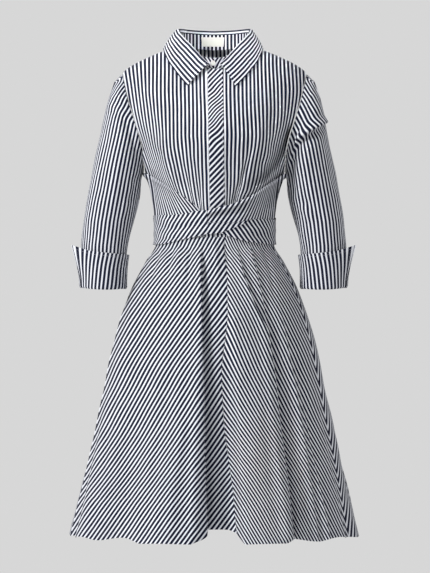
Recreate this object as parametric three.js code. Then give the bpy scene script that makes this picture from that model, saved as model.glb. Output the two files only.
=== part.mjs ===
// Shirt dress: collar on a stand, bias placket, turned-back cuffs, a wrapped waist and a flared skirt.
// Millimetres, +Z up, the front faces -Y and the left of the dress is +X.
// Z = 0 is the height at which the shoulders carry the dress. Angles are degrees round the body from
// the middle of the front (0) to the left side (90), the middle of the back (180) and the right (-90).
import * as THREE from 'three';

// Cloth and the gaps between its pieces
const clothWall = 1.2;
const seamGap = 0.4;
const layerGap = 0.9;

// Levels that the pieces share
const shoulderTip = { x: 184, z: -43 };
const underarmLevel = -238;
const waistLevel = -372;
const hemLevel = -967;
const neckHalfWidth = 62;

// How finely each piece is divided
const divisions = {
  neck: 6, shoulder: 10, armhole: 9, belowArmhole: 5, skirtRound: 15, skirtDown: 10, leaf: 5, wrapDown: 4,
  wrapStep: 6,
};

// The form of the whole dress: half the width, then how far front, back and side seam lie from X = 0
const formRings = [
  { z: 14, half: 62, front: 30, back: 40, side: 6 },
  { z: 5, half: 94, front: 40, back: 52, side: 6 },
  { z: -4, half: 118, front: 48, back: 60, side: 5 },
  { z: -12, half: 136, front: 53, back: 65, side: 4 },
  { z: -20, half: 153, front: 57, back: 69, side: 4 },
  { z: -30, half: 170, front: 60, back: 74, side: 4 },
  { z: -38, half: 180, front: 63, back: 77, side: 3 },
  { z: -43, half: 184, front: 66, back: 79, side: 3 },
  { z: -75, half: 189, front: 80, back: 88, side: 2 },
  { z: -100, half: 188, front: 92, back: 94, side: 2 },
  { z: -142, half: 176, front: 110, back: 99, side: 1 },
  { z: -175, half: 161, front: 117, back: 100, side: 0 },
  { z: -205, half: 147, front: 114, back: 98, side: 0 },
  { z: -238, half: 140, front: 108, back: 94, side: 0 },
  { z: -276, half: 127, front: 101, back: 89, side: 0 },
  { z: -310, half: 121, front: 97, back: 86, side: 0 },
  { z: -345, half: 118, front: 95, back: 84, side: 0 },
  { z: -372, half: 118, front: 95, back: 84, side: 0 },
  { z: -388, half: 120, front: 97, back: 87, side: 0 },
  { z: -420, half: 140, front: 112, back: 104, side: 0 },
  { z: -480, half: 170, front: 133, back: 128, side: 0 },
  { z: -568, half: 198, front: 152, back: 150, side: 0 },
  { z: -680, half: 223, front: 172, back: 172, side: 0 },
  { z: -800, half: 250, front: 193, back: 196, side: 0 },
  { z: -970, half: 289, front: 222, back: 230, side: 0 },
];

// Folds of the skirt, widest at the hem: middle and half width in degrees, depth at the hem (out is
// positive), the level where the fold begins and how far it lifts the hem
const skirtFolds = [
  { at: 1, spread: 12, depth: -46, begins: -400, lift: 26 },
  { at: -18, spread: 15, depth: 12, begins: -400, lift: 2 },
  { at: 20, spread: 14, depth: 12, begins: -400, lift: 2 },
  { at: -42, spread: 13, depth: -24, begins: -430, lift: 8 },
  { at: 42, spread: 12, depth: -22, begins: -420, lift: 7 },
  { at: -63, spread: 13, depth: 10, begins: -480, lift: 7 },
  { at: 56, spread: 13, depth: 10, begins: -480, lift: 8 },
  { at: 71, spread: 10, depth: -10, begins: -500, lift: 3 },
  { at: -80, spread: 9, depth: -7, begins: -520, lift: 3 },
  { at: 106, spread: 12, depth: 12, begins: -450, lift: 0 },
  { at: 125, spread: 13, depth: -24, begins: -400, lift: 7 },
  { at: 145, spread: 13, depth: 13, begins: -400, lift: 1 },
  { at: 163, spread: 13, depth: -27, begins: -400, lift: 8 },
  { at: 183, spread: 14, depth: 12, begins: -400, lift: 0 },
  { at: 203, spread: 13, depth: -25, begins: -400, lift: 8 },
  { at: 222, spread: 12, depth: 14, begins: -420, lift: 1 },
  { at: 240, spread: 12, depth: -20, begins: -430, lift: 6 },
  { at: 257, spread: 11, depth: 10, begins: -470, lift: 0 },
];
const skirtFoldGrowth = 1.25;
const skirtRowGrowth = 1.6;

// Where the front edge of the armhole runs, from the shoulder tip to the underarm
const armholeEdge = [
  { z: -43, x: 184 },
  { z: -75, x: 177 },
  { z: -100, x: 171 },
  { z: -142, x: 158 },
  { z: -175, x: 148 },
  { z: -205, x: 142 },
  { z: -238, x: 140 },
];

// The neck seam by its turn from the middle of the front (0) over the shoulder (90) to the back (180),
// with the top of the collar stand above it
const neckRows = [
  { turn: 0, seamZ: -38, standZ: -17, standFront: 66 },
  { turn: 15, seamZ: -36, standZ: -15, standFront: 67 },
  { turn: 30, seamZ: -30, standZ: -6, standFront: 66 },
  { turn: 45, seamZ: -20, standZ: 6, standFront: 64 },
  { turn: 60, seamZ: -8, standZ: 20, standFront: 62 },
  { turn: 75, seamZ: 4, standZ: 34, standFront: 60 },
  { turn: 90, seamZ: 14, standZ: 42, standFront: 58 },
  { turn: 120, seamZ: 10, standZ: 44, standFront: 58 },
  { turn: 150, seamZ: 8, standZ: 43, standFront: 58 },
  { turn: 180, seamZ: 6, standZ: 42, standFront: 58 },
];
const standHalfWidth = 72;
const standBack = 55;
const standSide = 4;

// The free edge of the collar fall on each side, where it lies on the shoulders
const collarEdge = {
  left: [
    { turn: 9, x: 43, z: -69 },
    { turn: 35, x: 66, z: -46 },
    { turn: 60, x: 86, z: -22 },
    { turn: 75, x: 92, z: -9 },
    { turn: 90, x: 96, z: 2 },
    { turn: 110, x: 94, z: 1 },
    { turn: 130, x: 80, z: -5 },
    { turn: 155, x: 44, z: -8 },
    { turn: 180, x: 0, z: -9 },
  ],
  right: [
    { turn: 9, x: 54, z: -68 },
    { turn: 35, x: 74, z: -44 },
    { turn: 60, x: 92, z: -22 },
    { turn: 75, x: 98, z: -8 },
    { turn: 90, x: 100, z: 1 },
    { turn: 110, x: 97, z: 0 },
    { turn: 130, x: 80, z: -5 },
    { turn: 155, x: 44, z: -8 },
    { turn: 180, x: 0, z: -9 },
  ],
};
const collarLift = 3.2;
const collarBulge = 4.5;

// How the fall rolls over the top of the stand: outward and upward from the stand's top edge
const collarRoll = [
  { out: -1.2, up: 0.5 },
  { out: -0.7, up: 2.8 },
  { out: 1.2, up: 4.2 },
  { out: 3.8, up: 3.0 },
];

// Rings of a sleeve: where its outer and inner edges run, half its depth and its middle in Y
const sleeveRings = [
  { outX: 200, outZ: -60, inX: 143.5, inZ: -246, deep: 50, y: 1 },
  { outX: 212, outZ: -94, inX: 146, inZ: -257, deep: 55, y: 1 },
  { outX: 220, outZ: -128, inX: 147, inZ: -268, deep: 56, y: 1 },
  { outX: 228, outZ: -165, inX: 148, inZ: -280, deep: 55, y: 0 },
  { outX: 237, outZ: -204, inX: 150.5, inZ: -296, deep: 53, y: 0 },
  { outX: 246, outZ: -248, inX: 155, inZ: -316, deep: 51, y: -1 },
  { outX: 255, outZ: -294, inX: 162, inZ: -342, deep: 49, y: -3 },
  { outX: 263, outZ: -340, inX: 169, inZ: -368, deep: 47, y: -6 },
  { outX: 268, outZ: -388, inX: 175, inZ: -400, deep: 46, y: -9 },
  { outX: 269, outZ: -430, inX: 178, inZ: -436, deep: 45, y: -12 },
  { outX: 269, outZ: -472, inX: 177, inZ: -474, deep: 44, y: -14 },
];

// Each sleeve's side of the body and how far its cuff end leans out or in
const sides = {
  left: { name: 'left', sign: 1, lean: -5 },
  right: { name: 'right', sign: -1, lean: -1 },
};

// The cuff, by its height above its lower fold and by the slit at its outer side
const cuff = {
  ringFrom: 8.15, ringTo: 9.97, steps: 4, round: 20, slitAt: 24, slitHalf: 3,
  footLift: 0.9, topLift: 4, cornerFlare: 17, cornerRise: 7, cornerSpread: 40,
};

// The placket strip down the front
const placketStrip = { width: 32, top: -40, bottom: -326, lean: 5, across: 4, down: 14, topDrop: 1 };

// Edges of the wrap pieces by the angle round the body; layer counts the cloth beneath, from 1
const wrapPieces = [
  {
    name: 'wrap_panel_left',
    rows: [
      { at: -6, top: -318, bottom: -343, layer: 3 },
      { at: 4, top: -312.5, bottom: -343.2, layer: 3 },
      { at: 15, top: -306, bottom: -343, layer: 3 },
      { at: 25, top: -297, bottom: -341.2, layer: 2.8 },
      { at: 34, top: -288, bottom: -337.2, layer: 2.2 },
      { at: 46, top: -272, bottom: -335, layer: 1.4 },
      { at: 58, top: -257, bottom: -334.8, layer: 1 },
      { at: 74, top: -243, bottom: -334.6, layer: 1 },
      { at: 89.8, top: -240, bottom: -334.4, layer: 1 },
    ],
  },
  {
    name: 'wrap_panel_right',
    rows: [
      { at: -89.8, top: -240, bottom: -331, layer: 1 },
      { at: -76, top: -242, bottom: -331, layer: 1 },
      { at: -62, top: -250, bottom: -331, layer: 1 },
      { at: -50, top: -262, bottom: -330, layer: 1 },
      { at: -38, top: -278, bottom: -330, layer: 1 },
      { at: -26, top: -296, bottom: -328, layer: 1 },
      { at: -14, top: -316, bottom: -325, layer: 1 },
    ],
  },
  {
    name: 'waist_wrap_over',
    rows: [
      { at: -89.8, top: -327, bottom: -386, layer: 2 },
      { at: -75, top: -327, bottom: -386, layer: 2 },
      { at: -60, top: -327, bottom: -386, layer: 2 },
      { at: -45, top: -327, bottom: -382, layer: 2 },
      { at: -30, top: -326, bottom: -376, layer: 2.1 },
      { at: -20, top: -322, bottom: -372, layer: 2.6 },
      { at: -13, top: -319, bottom: -369, layer: 2.9 },
      { at: -6.7, top: -318.5, bottom: -366, layer: 3 },
      { at: -6.1, top: -343.6, bottom: -366, layer: 3 },
      { at: 4, top: -343.8, bottom: -363.5, layer: 3 },
      { at: 15, top: -343.6, bottom: -356, layer: 3 },
      { at: 25, top: -341.8, bottom: -347.5, layer: 3 },
      { at: 32, top: -339.6, bottom: -342.2, layer: 3 },
    ],
  },
  {
    name: 'waist_wrap_under',
    rows: [
      { at: -7, top: -358, bottom: -363.4, layer: 2 },
      { at: 3, top: -354.5, bottom: -363.6, layer: 2 },
      { at: 15, top: -350, bottom: -371, layer: 2 },
      { at: 26, top: -343.5, bottom: -378, layer: 2 },
      { at: 34, top: -338.4, bottom: -381.5, layer: 2 },
      { at: 46, top: -335.6, bottom: -384, layer: 2 },
      { at: 60, top: -335.4, bottom: -386, layer: 2 },
      { at: 75, top: -335.2, bottom: -386, layer: 2 },
      { at: 89.8, top: -335, bottom: -386, layer: 2 },
    ],
  },
  {
    name: 'waist_wrap_back',
    rows: [
      { at: 90.2, top: -331, bottom: -386, layer: 2 },
      { at: 105, top: -331, bottom: -386, layer: 1.7 },
      { at: 120, top: -331, bottom: -386, layer: 1.2 },
      { at: 135, top: -331, bottom: -386, layer: 1 },
      { at: 150, top: -331, bottom: -385, layer: 1 },
      { at: 165, top: -331, bottom: -385, layer: 1 },
      { at: 180, top: -331, bottom: -385, layer: 1 },
      { at: 195, top: -331, bottom: -385, layer: 1 },
      { at: 210, top: -331, bottom: -385, layer: 1 },
      { at: 225, top: -331, bottom: -386, layer: 1 },
      { at: 240, top: -331, bottom: -386, layer: 1.2 },
      { at: 255, top: -331, bottom: -386, layer: 1.7 },
      { at: 269.8, top: -331, bottom: -386, layer: 2 },
    ],
  },
];

// The seam down the front of the skirt drifts to the left of the dress
const frontSeamDrift = [
  { z: -372, at: 10 },
  { z: -534, at: 8 },
  { z: -652, at: 4.2 },
  { z: -748, at: 5 },
  { z: -842, at: 7 },
  { z: -967, at: 8.6 },
];
const skirtSeams = { left: 79, back: 180, right: 268 };

const standButton = { x: -3, z: -27, radius: 5.2, rim: 0.7, thick: 2.2, gap: 0.6 };
const neckLabel = { width: 49, top: 27, bottom: 9, columns: 6, rows: 3, off: 0.5, wall: 1 };

const finish = {
  stripedCotton: { color: 0x8b90a6, roughness: 0.8, metalness: 0 },
  button: { color: 0xf2f1ec, roughness: 0.3, metalness: 0 },
  label: { color: 0xeceae3, roughness: 0.6, metalness: 0 },
};

const degrees = Math.PI / 180;

// A smooth value between the rows of a table, without overshoot
function readTable(rows, key, column, at) {
  const step = Math.sign(rows[1][key] - rows[0][key]);
  let i = 0;
  while (i < rows.length - 2 && (at - rows[i + 1][key]) * step > 0) {
    i += 1;
  }
  const span = (k) => rows[k + 1][key] - rows[k][key];
  const slope = (k) => (rows[k + 1][column] - rows[k][column]) / span(k);
  const tangent = (k) => {
    if (k === 0) {
      return slope(0);
    }
    if (k === rows.length - 1) {
      return slope(k - 1);
    }
    const [before, after] = [slope(k - 1), slope(k)];
    return before * after <= 0 ? 0 : (2 * before * after) / (before + after);
  };
  const s = THREE.MathUtils.clamp((at - rows[i][key]) / span(i), 0, 1);
  const [s2, s3] = [s * s, s * s * s];
  return (2 * s3 - 3 * s2 + 1) * rows[i][column] + (s3 - 2 * s2 + s) * span(i) * tangent(i)
    + (3 * s2 - 2 * s3) * rows[i + 1][column] + (s3 - s2) * span(i) * tangent(i + 1);
}

function angleApart(a, b) {
  return ((((a - b + 180) % 360) + 360) % 360) - 180;
}

// A fold's profile across its width: 1 in its middle, 0 at its edges
function foldProfile(angle, fold) {
  const across = angleApart(angle, fold.at) / fold.spread;
  return Math.abs(across) < 1 ? (1 - across * across) ** 2 : 0;
}

function foldDepth(angle, z) {
  let depth = 0;
  for (const fold of skirtFolds) {
    const grown = THREE.MathUtils.clamp((fold.begins - z) / (fold.begins - hemLevel), 0, 1);
    depth += fold.depth * grown ** skirtFoldGrowth * foldProfile(angle, fold);
  }
  return depth;
}

function hemHeight(angle) {
  return skirtFolds.reduce((z, fold) => z + fold.lift * foldProfile(angle, fold), hemLevel);
}

// The outer face of the cloth at an angle and a level
function formPoint(angle, z) {
  const read = (column) => readTable(formRings, 'z', column, z);
  const [turn, side] = [angle * degrees, read('side')];
  const ahead = Math.cos(turn);
  const reach = ahead > 0 ? read('front') + side : read('back') - side;
  const fold = z < waistLevel ? foldDepth(angle, z) : 0;
  const x = (read('half') + fold) * Math.sin(turn);
  return new THREE.Vector3(x, side - (reach + fold) * ahead, z);
}

function formNormal(angle, z) {
  const [turnStep, levelStep] = [0.4, 0.8];
  const round = formPoint(angle + turnStep, z).sub(formPoint(angle - turnStep, z));
  const up = formPoint(angle, z + levelStep).sub(formPoint(angle, z - levelStep));
  return round.cross(up).normalize();
}

function formOffset(angle, z, out) {
  return formPoint(angle, z).addScaledVector(formNormal(angle, z), out);
}

// The angle of the front or back face at a distance from the middle, kept off the side seam by a gap
function angleAcross(x, z, isBack) {
  const half = readTable(formRings, 'z', 'half', z);
  const depth = readTable(formRings, 'z', 'front', z) + readTable(formRings, 'z', 'side', z);
  const seam = 90 - seamGap / 2 / depth / degrees;
  const angle = Math.min(Math.asin(Math.min(x / half, 1)) / degrees, seam);
  return isBack ? 180 - angle : angle;
}

// The level at which the shoulder line is this far from the middle
function shoulderLevel(x) {
  let [low, high] = [shoulderTip.z, formRings[0].z];
  while (high - low > 0.001) {
    const middle = (low + high) / 2;
    if (readTable(formRings, 'z', 'half', middle) > x) {
      low = middle;
    } else {
      high = middle;
    }
  }
  return low;
}

function ringNormals(grid, closed) {
  const [rows, columns] = [grid.length, grid[0].length];
  const pick = (i, j) => grid[i][closed ? (j + columns) % columns : THREE.MathUtils.clamp(j, 0, columns - 1)];
  return grid.map((row, i) => row.map((point, j) => {
    const across = pick(i, j + 1).clone().sub(pick(i, j - 1));
    const down = grid[Math.min(i + 1, rows - 1)][j].clone().sub(grid[Math.max(i - 1, 0)][j]);
    return down.cross(across).normalize();
  }));
}

// A closed wall between an outer grid and an inner one, both by rows going down and columns going
// counter-clockwise seen from above
function wallBetween(outer, inner, closed = false) {
  const [rows, columns] = [outer.length, outer[0].length];
  const points = [...outer.flat(), ...inner.flat()];
  const faces = [];
  const at = (layer, i, j) => layer * rows * columns + i * columns + (j % columns);
  const quad = (a, b, c, d) => faces.push(a, b, c, a, c, d);
  const lastColumn = closed ? columns : columns - 1;
  for (let i = 0; i < rows - 1; i += 1) {
    for (let j = 0; j < lastColumn; j += 1) {
      quad(at(0, i, j), at(0, i + 1, j), at(0, i + 1, j + 1), at(0, i, j + 1));
      quad(at(1, i, j), at(1, i, j + 1), at(1, i + 1, j + 1), at(1, i + 1, j));
    }
  }
  for (let j = 0; j < lastColumn; j += 1) {
    quad(at(0, 0, j), at(0, 0, j + 1), at(1, 0, j + 1), at(1, 0, j));
    quad(at(0, rows - 1, j), at(1, rows - 1, j), at(1, rows - 1, j + 1), at(0, rows - 1, j + 1));
  }
  for (let i = 0; !closed && i < rows - 1; i += 1) {
    quad(at(0, i, 0), at(1, i, 0), at(1, i + 1, 0), at(0, i + 1, 0));
    const j = columns - 1;
    quad(at(0, i, j), at(0, i + 1, j), at(1, i + 1, j), at(1, i, j));
  }
  const geometry = new THREE.BufferGeometry();
  const positions = points.flatMap((point) => [point.x, point.y, point.z]);
  geometry.setAttribute('position', new THREE.Float32BufferAttribute(positions, 3));
  geometry.setIndex(faces);
  geometry.computeVertexNormals();
  return geometry;
}

function moveInward(grid, normals, distance) {
  return grid.map((row, i) => row.map((point, j) => point.clone().addScaledVector(normals[i][j], -distance)));
}

function wallFromGrid(outer, { closed = false, wall = clothWall } = {}) {
  return wallBetween(outer, moveInward(outer, ringNormals(outer, closed), wall), closed);
}

// A wall on the form: cells hold an angle, a level and how far out the cloth's outer face lies
function wallOnForm(cells, wall = clothWall) {
  const place = (depth) => cells.map((row) => row.map((c) => formOffset(c.angle, c.z, c.out - depth)));
  return wallBetween(place(0), place(wall));
}

function piece(name, geometry, look = finish.stripedCotton) {
  const mesh = new THREE.Mesh(geometry, new THREE.MeshStandardMaterial({ ...look, name }));
  mesh.name = name;
  return mesh;
}

function layerOut(layer) {
  return layer * (clothWall + layerGap);
}

// Levels down the armhole and on to the waist, as the outermost column of a bodice has them
function armholeLevel(turn) {
  const middle = (shoulderTip.z + underarmLevel) / 2;
  return middle + ((shoulderTip.z - underarmLevel) / 2) * Math.cos(turn * degrees);
}

function bodiceLevels() {
  const levels = [];
  for (let i = 0; i <= divisions.armhole; i += 1) {
    levels.push(armholeLevel((180 * i) / divisions.armhole));
  }
  for (let i = 1; i <= divisions.belowArmhole; i += 1) {
    levels.push(THREE.MathUtils.lerp(underarmLevel, waistLevel, i / divisions.belowArmhole));
  }
  return levels;
}

function outerEdgeX(z) {
  if (z >= shoulderTip.z) {
    return shoulderTip.x;
  }
  return z > underarmLevel
    ? readTable(armholeEdge, 'z', 'x', z)
    : readTable(formRings, 'z', 'half', z);
}

// The columns of half a bodice from its middle to the armhole: where each starts at the top
function bodiceColumns(isBack) {
  const columns = [];
  for (let i = 0; i <= divisions.neck; i += 1) {
    const turn = (90 * i) / divisions.neck;
    const z = readTable(neckRows, 'turn', 'seamZ', isBack ? 180 - turn : turn);
    columns.push({ x: neckHalfWidth * Math.sin(turn * degrees), z });
  }
  const first = Math.asin(neckHalfWidth / shoulderTip.x);
  for (let i = 1; i <= divisions.shoulder; i += 1) {
    const x = shoulderTip.x * Math.sin(THREE.MathUtils.lerp(first, Math.PI / 2, i / divisions.shoulder));
    columns.push({ x, z: shoulderLevel(x) });
  }
  return columns;
}

function halfBodice(isBack) {
  const middleX = isBack ? 0 : seamGap / 2;
  return bodiceLevels().map((level) => bodiceColumns(isBack).map((column) => {
    const down = (shoulderTip.z - level) / (shoulderTip.z - waistLevel);
    const z = THREE.MathUtils.lerp(column.z, waistLevel + seamGap, down);
    const x = Math.max((column.x / shoulderTip.x) * outerEdgeX(z), middleX);
    return { angle: angleAcross(x, z, isBack), z, out: 0 };
  }));
}

function mirrored(cells) {
  return cells.map((row) => row.map((cell) => ({ ...cell, angle: -cell.angle })).reverse());
}

function bodicePieces() {
  const [front, back] = [halfBodice(false), halfBodice(true)];
  const fromLeft = back.map((row) => [...row].reverse());
  const wholeBack = fromLeft.map((row, i) => [...row.slice(0, -1), ...mirrored(fromLeft)[i].map(
    (cell) => ({ ...cell, angle: cell.angle + 360 }),
  )]);
  return [
    piece('bodice_front_left', wallOnForm(front)),
    piece('bodice_front_right', wallOnForm(mirrored(front))),
    piece('bodice_back', wallOnForm(wholeBack)),
  ];
}

// Angles between two seams, spaced evenly along the folded hem
function evenStops(from, to, count) {
  const fine = 400;
  const lengths = [0];
  for (let i = 1; i <= fine; i += 1) {
    const [a, b] = [i - 1, i].map((k) => formPoint(THREE.MathUtils.lerp(from, to, k / fine), hemLevel));
    lengths.push(lengths[i - 1] + a.distanceTo(b));
  }
  const stops = [];
  for (let i = 0, k = 0; i <= count; i += 1) {
    while (k < fine && lengths[k] < (lengths[fine] * i) / count) {
      k += 1;
    }
    stops.push(k / fine);
  }
  return stops;
}

function skirtQuarter(seamBefore, seamAfter) {
  const { skirtRound, skirtDown } = divisions;
  const stops = evenStops(seamBefore(hemLevel), seamAfter(hemLevel), skirtRound);
  const cells = [];
  for (let i = 0; i <= skirtDown; i += 1) {
    const down = (i / skirtDown) ** skirtRowGrowth;
    cells.push(stops.map((share) => {
      const guess = THREE.MathUtils.lerp(waistLevel, hemLevel, down);
      const gap = seamGap / 2 / readTable(formRings, 'z', 'half', guess) / degrees;
      const angle = THREE.MathUtils.lerp(seamBefore(guess) + gap, seamAfter(guess) - gap, share);
      const z = THREE.MathUtils.lerp(waistLevel, hemHeight(angle), down);
      return { angle, z, out: 0 };
    }));
  }
  return wallOnForm(cells);
}

function skirtPieces() {
  const front = (z) => readTable(frontSeamDrift, 'z', 'at', z);
  const seam = (angle) => () => angle;
  return [
    piece('skirt_front_left', skirtQuarter(front, seam(skirtSeams.left))),
    piece('skirt_back_left', skirtQuarter(seam(skirtSeams.left), seam(skirtSeams.back))),
    piece('skirt_back_right', skirtQuarter(seam(skirtSeams.back), seam(skirtSeams.right))),
    piece('skirt_front_right', skirtQuarter(seam(skirtSeams.right - 360), front)),
  ];
}

// The turns round the neck from the right end of the front, over the back, to the left end
function neckTurns(firstTurn) {
  const turns = [];
  for (let i = 0; i <= 4 * divisions.neck; i += 1) {
    turns.push(THREE.MathUtils.clamp((360 * i) / (4 * divisions.neck), firstTurn, 360 - firstTurn));
  }
  return turns;
}

// Turns past 180 are on the right of the dress
function neckSide(turn) {
  return turn <= 180 ? { folded: turn, sign: 1 } : { folded: 360 - turn, sign: -1 };
}

function neckSeamPoint(turn) {
  const { folded, sign } = neckSide(turn);
  const z = readTable(neckRows, 'turn', 'seamZ', folded);
  const x = neckHalfWidth * Math.sin(folded * degrees);
  const point = formPoint(angleAcross(x, z, folded > 90), z);
  return new THREE.Vector3(sign * Math.max(point.x, seamGap / 2), point.y, z);
}

function standTopPoint(turn) {
  const { folded, sign } = neckSide(turn);
  const z = readTable(neckRows, 'turn', 'standZ', folded);
  const ahead = Math.cos(folded * degrees);
  const front = readTable(neckRows, 'turn', 'standFront', folded);
  const y = standSide - (ahead > 0 ? front + standSide : standBack - standSide) * ahead;
  const x = sign * Math.max(standHalfWidth * Math.sin(folded * degrees), seamGap / 2);
  return new THREE.Vector3(x, y, z);
}

// A point on the stand's outer face, from its top (0) to its foot (1)
function standPoint(turn, down) {
  const foot = neckSeamPoint(turn);
  const top = standTopPoint(turn);
  foot.addScaledVector(top.clone().sub(foot).normalize(), seamGap + 0.3);
  return top.lerp(foot, down);
}

function standOutward(turn) {
  return new THREE.Vector3(Math.sin(turn * degrees), -Math.cos(turn * degrees), 0);
}

function collarStand() {
  const turns = neckTurns(0);
  const stops = [0, 1 / 3, 2 / 3, 1];
  const outer = stops.map((down) => turns.map((turn) => standPoint(turn, down)));
  const inner = stops.map((down) => turns.map((turn) => (
    standPoint(turn, down).addScaledVector(standOutward(turn), -clothWall))));
  for (const grid of [outer, inner]) {
    for (const row of grid) {
      row[0].x = seamGap / 2;
      row[row.length - 1].x = -seamGap / 2;
    }
  }
  return piece('collar_stand', wallBetween(outer, inner));
}

function collarEdgePoint(turn) {
  const { folded, sign } = neckSide(turn);
  const rows = sign > 0 ? collarEdge.left : collarEdge.right;
  const z = readTable(rows, 'turn', 'z', folded);
  const x = readTable(rows, 'turn', 'x', folded);
  const point = formOffset(angleAcross(x, z, folded > 90), z, collarLift + clothWall);
  return new THREE.Vector3(sign * point.x, point.y, point.z);
}

function collarFall() {
  const turns = neckTurns(collarEdge.left[0].turn);
  const roll = collarRoll.map(({ out, up }) => turns.map((turn) => (
    standTopPoint(turn).addScaledVector(standOutward(turn), out).add(new THREE.Vector3(0, 0, up)))));
  const leaf = [];
  for (let i = 1; i <= divisions.leaf; i += 1) {
    leaf.push(turns.map((turn, j) => {
      const from = roll[roll.length - 1][j];
      const to = collarEdgePoint(turn);
      const middle = from.clone().lerp(to, 0.45).addScaledVector(standOutward(turn), collarBulge);
      return new THREE.QuadraticBezierCurve3(from, middle, to).getPoint(i / divisions.leaf);
    }));
  }
  return piece('collar_fall', wallFromGrid([...roll, ...leaf]));
}

function buttonOnStand() {
  const { radius, rim, thick } = standButton;
  const profile = [
    [0, 0], [radius * 0.8, 0], [radius, thick * 0.4], [radius, thick * 0.8], [radius - rim / 2, thick],
    [radius - rim * 1.6, thick], [radius - rim * 2.2, thick * 0.7], [0, thick * 0.7],
  ].map(([r, h]) => new THREE.Vector2(r, h));
  const mesh = piece('stand_button', new THREE.LatheGeometry(profile, 20), finish.button);
  const [top, foot] = [standPoint(0, 0), standPoint(0, 1)];
  const seat = top.clone().lerp(foot, (top.z - standButton.z) / (top.z - foot.z));
  mesh.position.set(standButton.x, seat.y - standButton.gap, standButton.z);
  mesh.rotation.x = Math.PI + Math.atan2(foot.y - top.y, top.z - foot.z);
  return mesh;
}

// The label lies on the inner face of the stand, at the middle of the back
function labelInNeck() {
  const { width, top, bottom, columns, rows } = neckLabel;
  const halfTurn = Math.asin(width / 2 / standHalfWidth) / degrees;
  const stand = { top: 42, foot: 6 };
  const grid = (inward) => Array.from({ length: rows + 1 }, (_, i) => (
    Array.from({ length: columns + 1 }, (__, j) => {
      const turn = THREE.MathUtils.lerp(180 - halfTurn, 180 + halfTurn, j / columns);
      const z = THREE.MathUtils.lerp(top, bottom, i / rows);
      const point = standPoint(turn, (stand.top - z) / (stand.top - stand.foot));
      return point.addScaledVector(standOutward(turn), -inward);
    })));
  const face = clothWall + neckLabel.off;
  return piece('neck_label', wallBetween(grid(face), grid(face + neckLabel.wall)), finish.label);
}

function placketPiece() {
  const { width, top, bottom, lean, across, down, topDrop } = placketStrip;
  const cells = [];
  for (let i = 0; i <= down; i += 1) {
    cells.push([]);
    for (let j = 0; j <= across; j += 1) {
      const aside = Math.abs(j / across - 0.5) * 2;
      const z = THREE.MathUtils.lerp(top + topDrop * aside, bottom, i / down);
      const x = (lean * i) / down + (j / across - 0.5) * width;
      const angle = Math.sign(x) * angleAcross(Math.abs(x), z, false);
      cells[i].push({ angle, z, out: layerOut(1) });
    }
  }
  return piece('placket', wallOnForm(cells));
}

// Angles from a wrap piece's first row to its last, at least as close as wrapStep, through every row
function wrapAngles(rows) {
  const angles = [rows[0].at];
  for (let i = 1; i < rows.length; i += 1) {
    const parts = Math.ceil((rows[i].at - rows[i - 1].at) / divisions.wrapStep);
    for (let k = 1; k <= parts; k += 1) {
      angles.push(THREE.MathUtils.lerp(rows[i - 1].at, rows[i].at, k / parts));
    }
  }
  return angles;
}

function wrapPiece({ name, rows }) {
  const { wrapDown } = divisions;
  const cells = [];
  for (let i = 0; i <= wrapDown; i += 1) {
    cells.push(wrapAngles(rows).map((angle) => {
      const read = (column) => readTable(rows, 'at', column, angle);
      const z = THREE.MathUtils.lerp(read('top'), read('bottom'), i / wrapDown);
      return { angle, z, out: layerOut(read('layer')) };
    }));
  }
  return piece(name, wallOnForm(cells));
}

// The seam where a sleeve meets the armhole. Turn 0 is the shoulder tip, 90 the front, 180 the underarm.
function armholeCell(turn) {
  const folded = turn <= 180 ? turn : 360 - turn;
  const z = armholeLevel(folded);
  return { angle: angleAcross(outerEdgeX(z), z, turn > 180), z };
}

function sleeveGrids(side) {
  const columns = 2 * divisions.armhole;
  const turns = Array.from({ length: columns }, (_, j) => (360 * (columns - j)) / columns);
  const seam = turns.map((turn) => {
    const { angle, z } = armholeCell(turn % 360);
    return { point: formPoint(angle, z), normal: formNormal(angle, z) };
  });
  const rings = sleeveRings.map((_, i) => turns.map((turn) => sleevePoint(turn, i)));
  // The seam ring stands clear of the bodice by the gap, on the way to the first ring
  const top = seam.map(({ point }, j) => (
    point.clone().addScaledVector(rings[0][j].clone().sub(point).normalize(), seamGap * 2)));
  const outer = [top, ...rings];
  const normals = ringNormals(outer, true);
  normals[0] = seam.map(({ normal }) => normal);
  const inner = moveInward(outer, normals, clothWall);
  const flip = (grid) => grid.map((row) => (
    side.sign > 0 ? row : [...row].reverse().map((p) => new THREE.Vector3(-p.x, p.y, p.z))));
  const lean = (grid) => flip(grid).map((row, i) => row.map((p) => (
    p.clone().setX(p.x + (side.sign * side.lean * i) / sleeveRings.length))));
  return { outer: lean(outer), inner: lean(inner) };
}

// A point of the sleeve's outer face on the left, by its turn and its place among the rings
function sleevePoint(turn, ring) {
  const rows = sleeveRings.map((row, i) => ({ ...row, i }));
  const read = (column) => readTable(rows, 'i', column, ring);
  const outward = Math.cos(turn * degrees);
  const x = (read('outX') + read('inX')) / 2 + ((read('outX') - read('inX')) / 2) * outward;
  const z = (read('outZ') + read('inZ')) / 2 + ((read('outZ') - read('inZ')) / 2) * outward;
  return new THREE.Vector3(x, read('y') - read('deep') * Math.sin(turn * degrees), z);
}

function sleeveNormal(turn, ring) {
  const round = sleevePoint(turn + 1, ring).sub(sleevePoint(turn - 1, ring));
  const down = sleevePoint(turn, ring + 0.1).sub(sleevePoint(turn, ring - 0.1));
  return round.cross(down).normalize();
}

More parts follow.
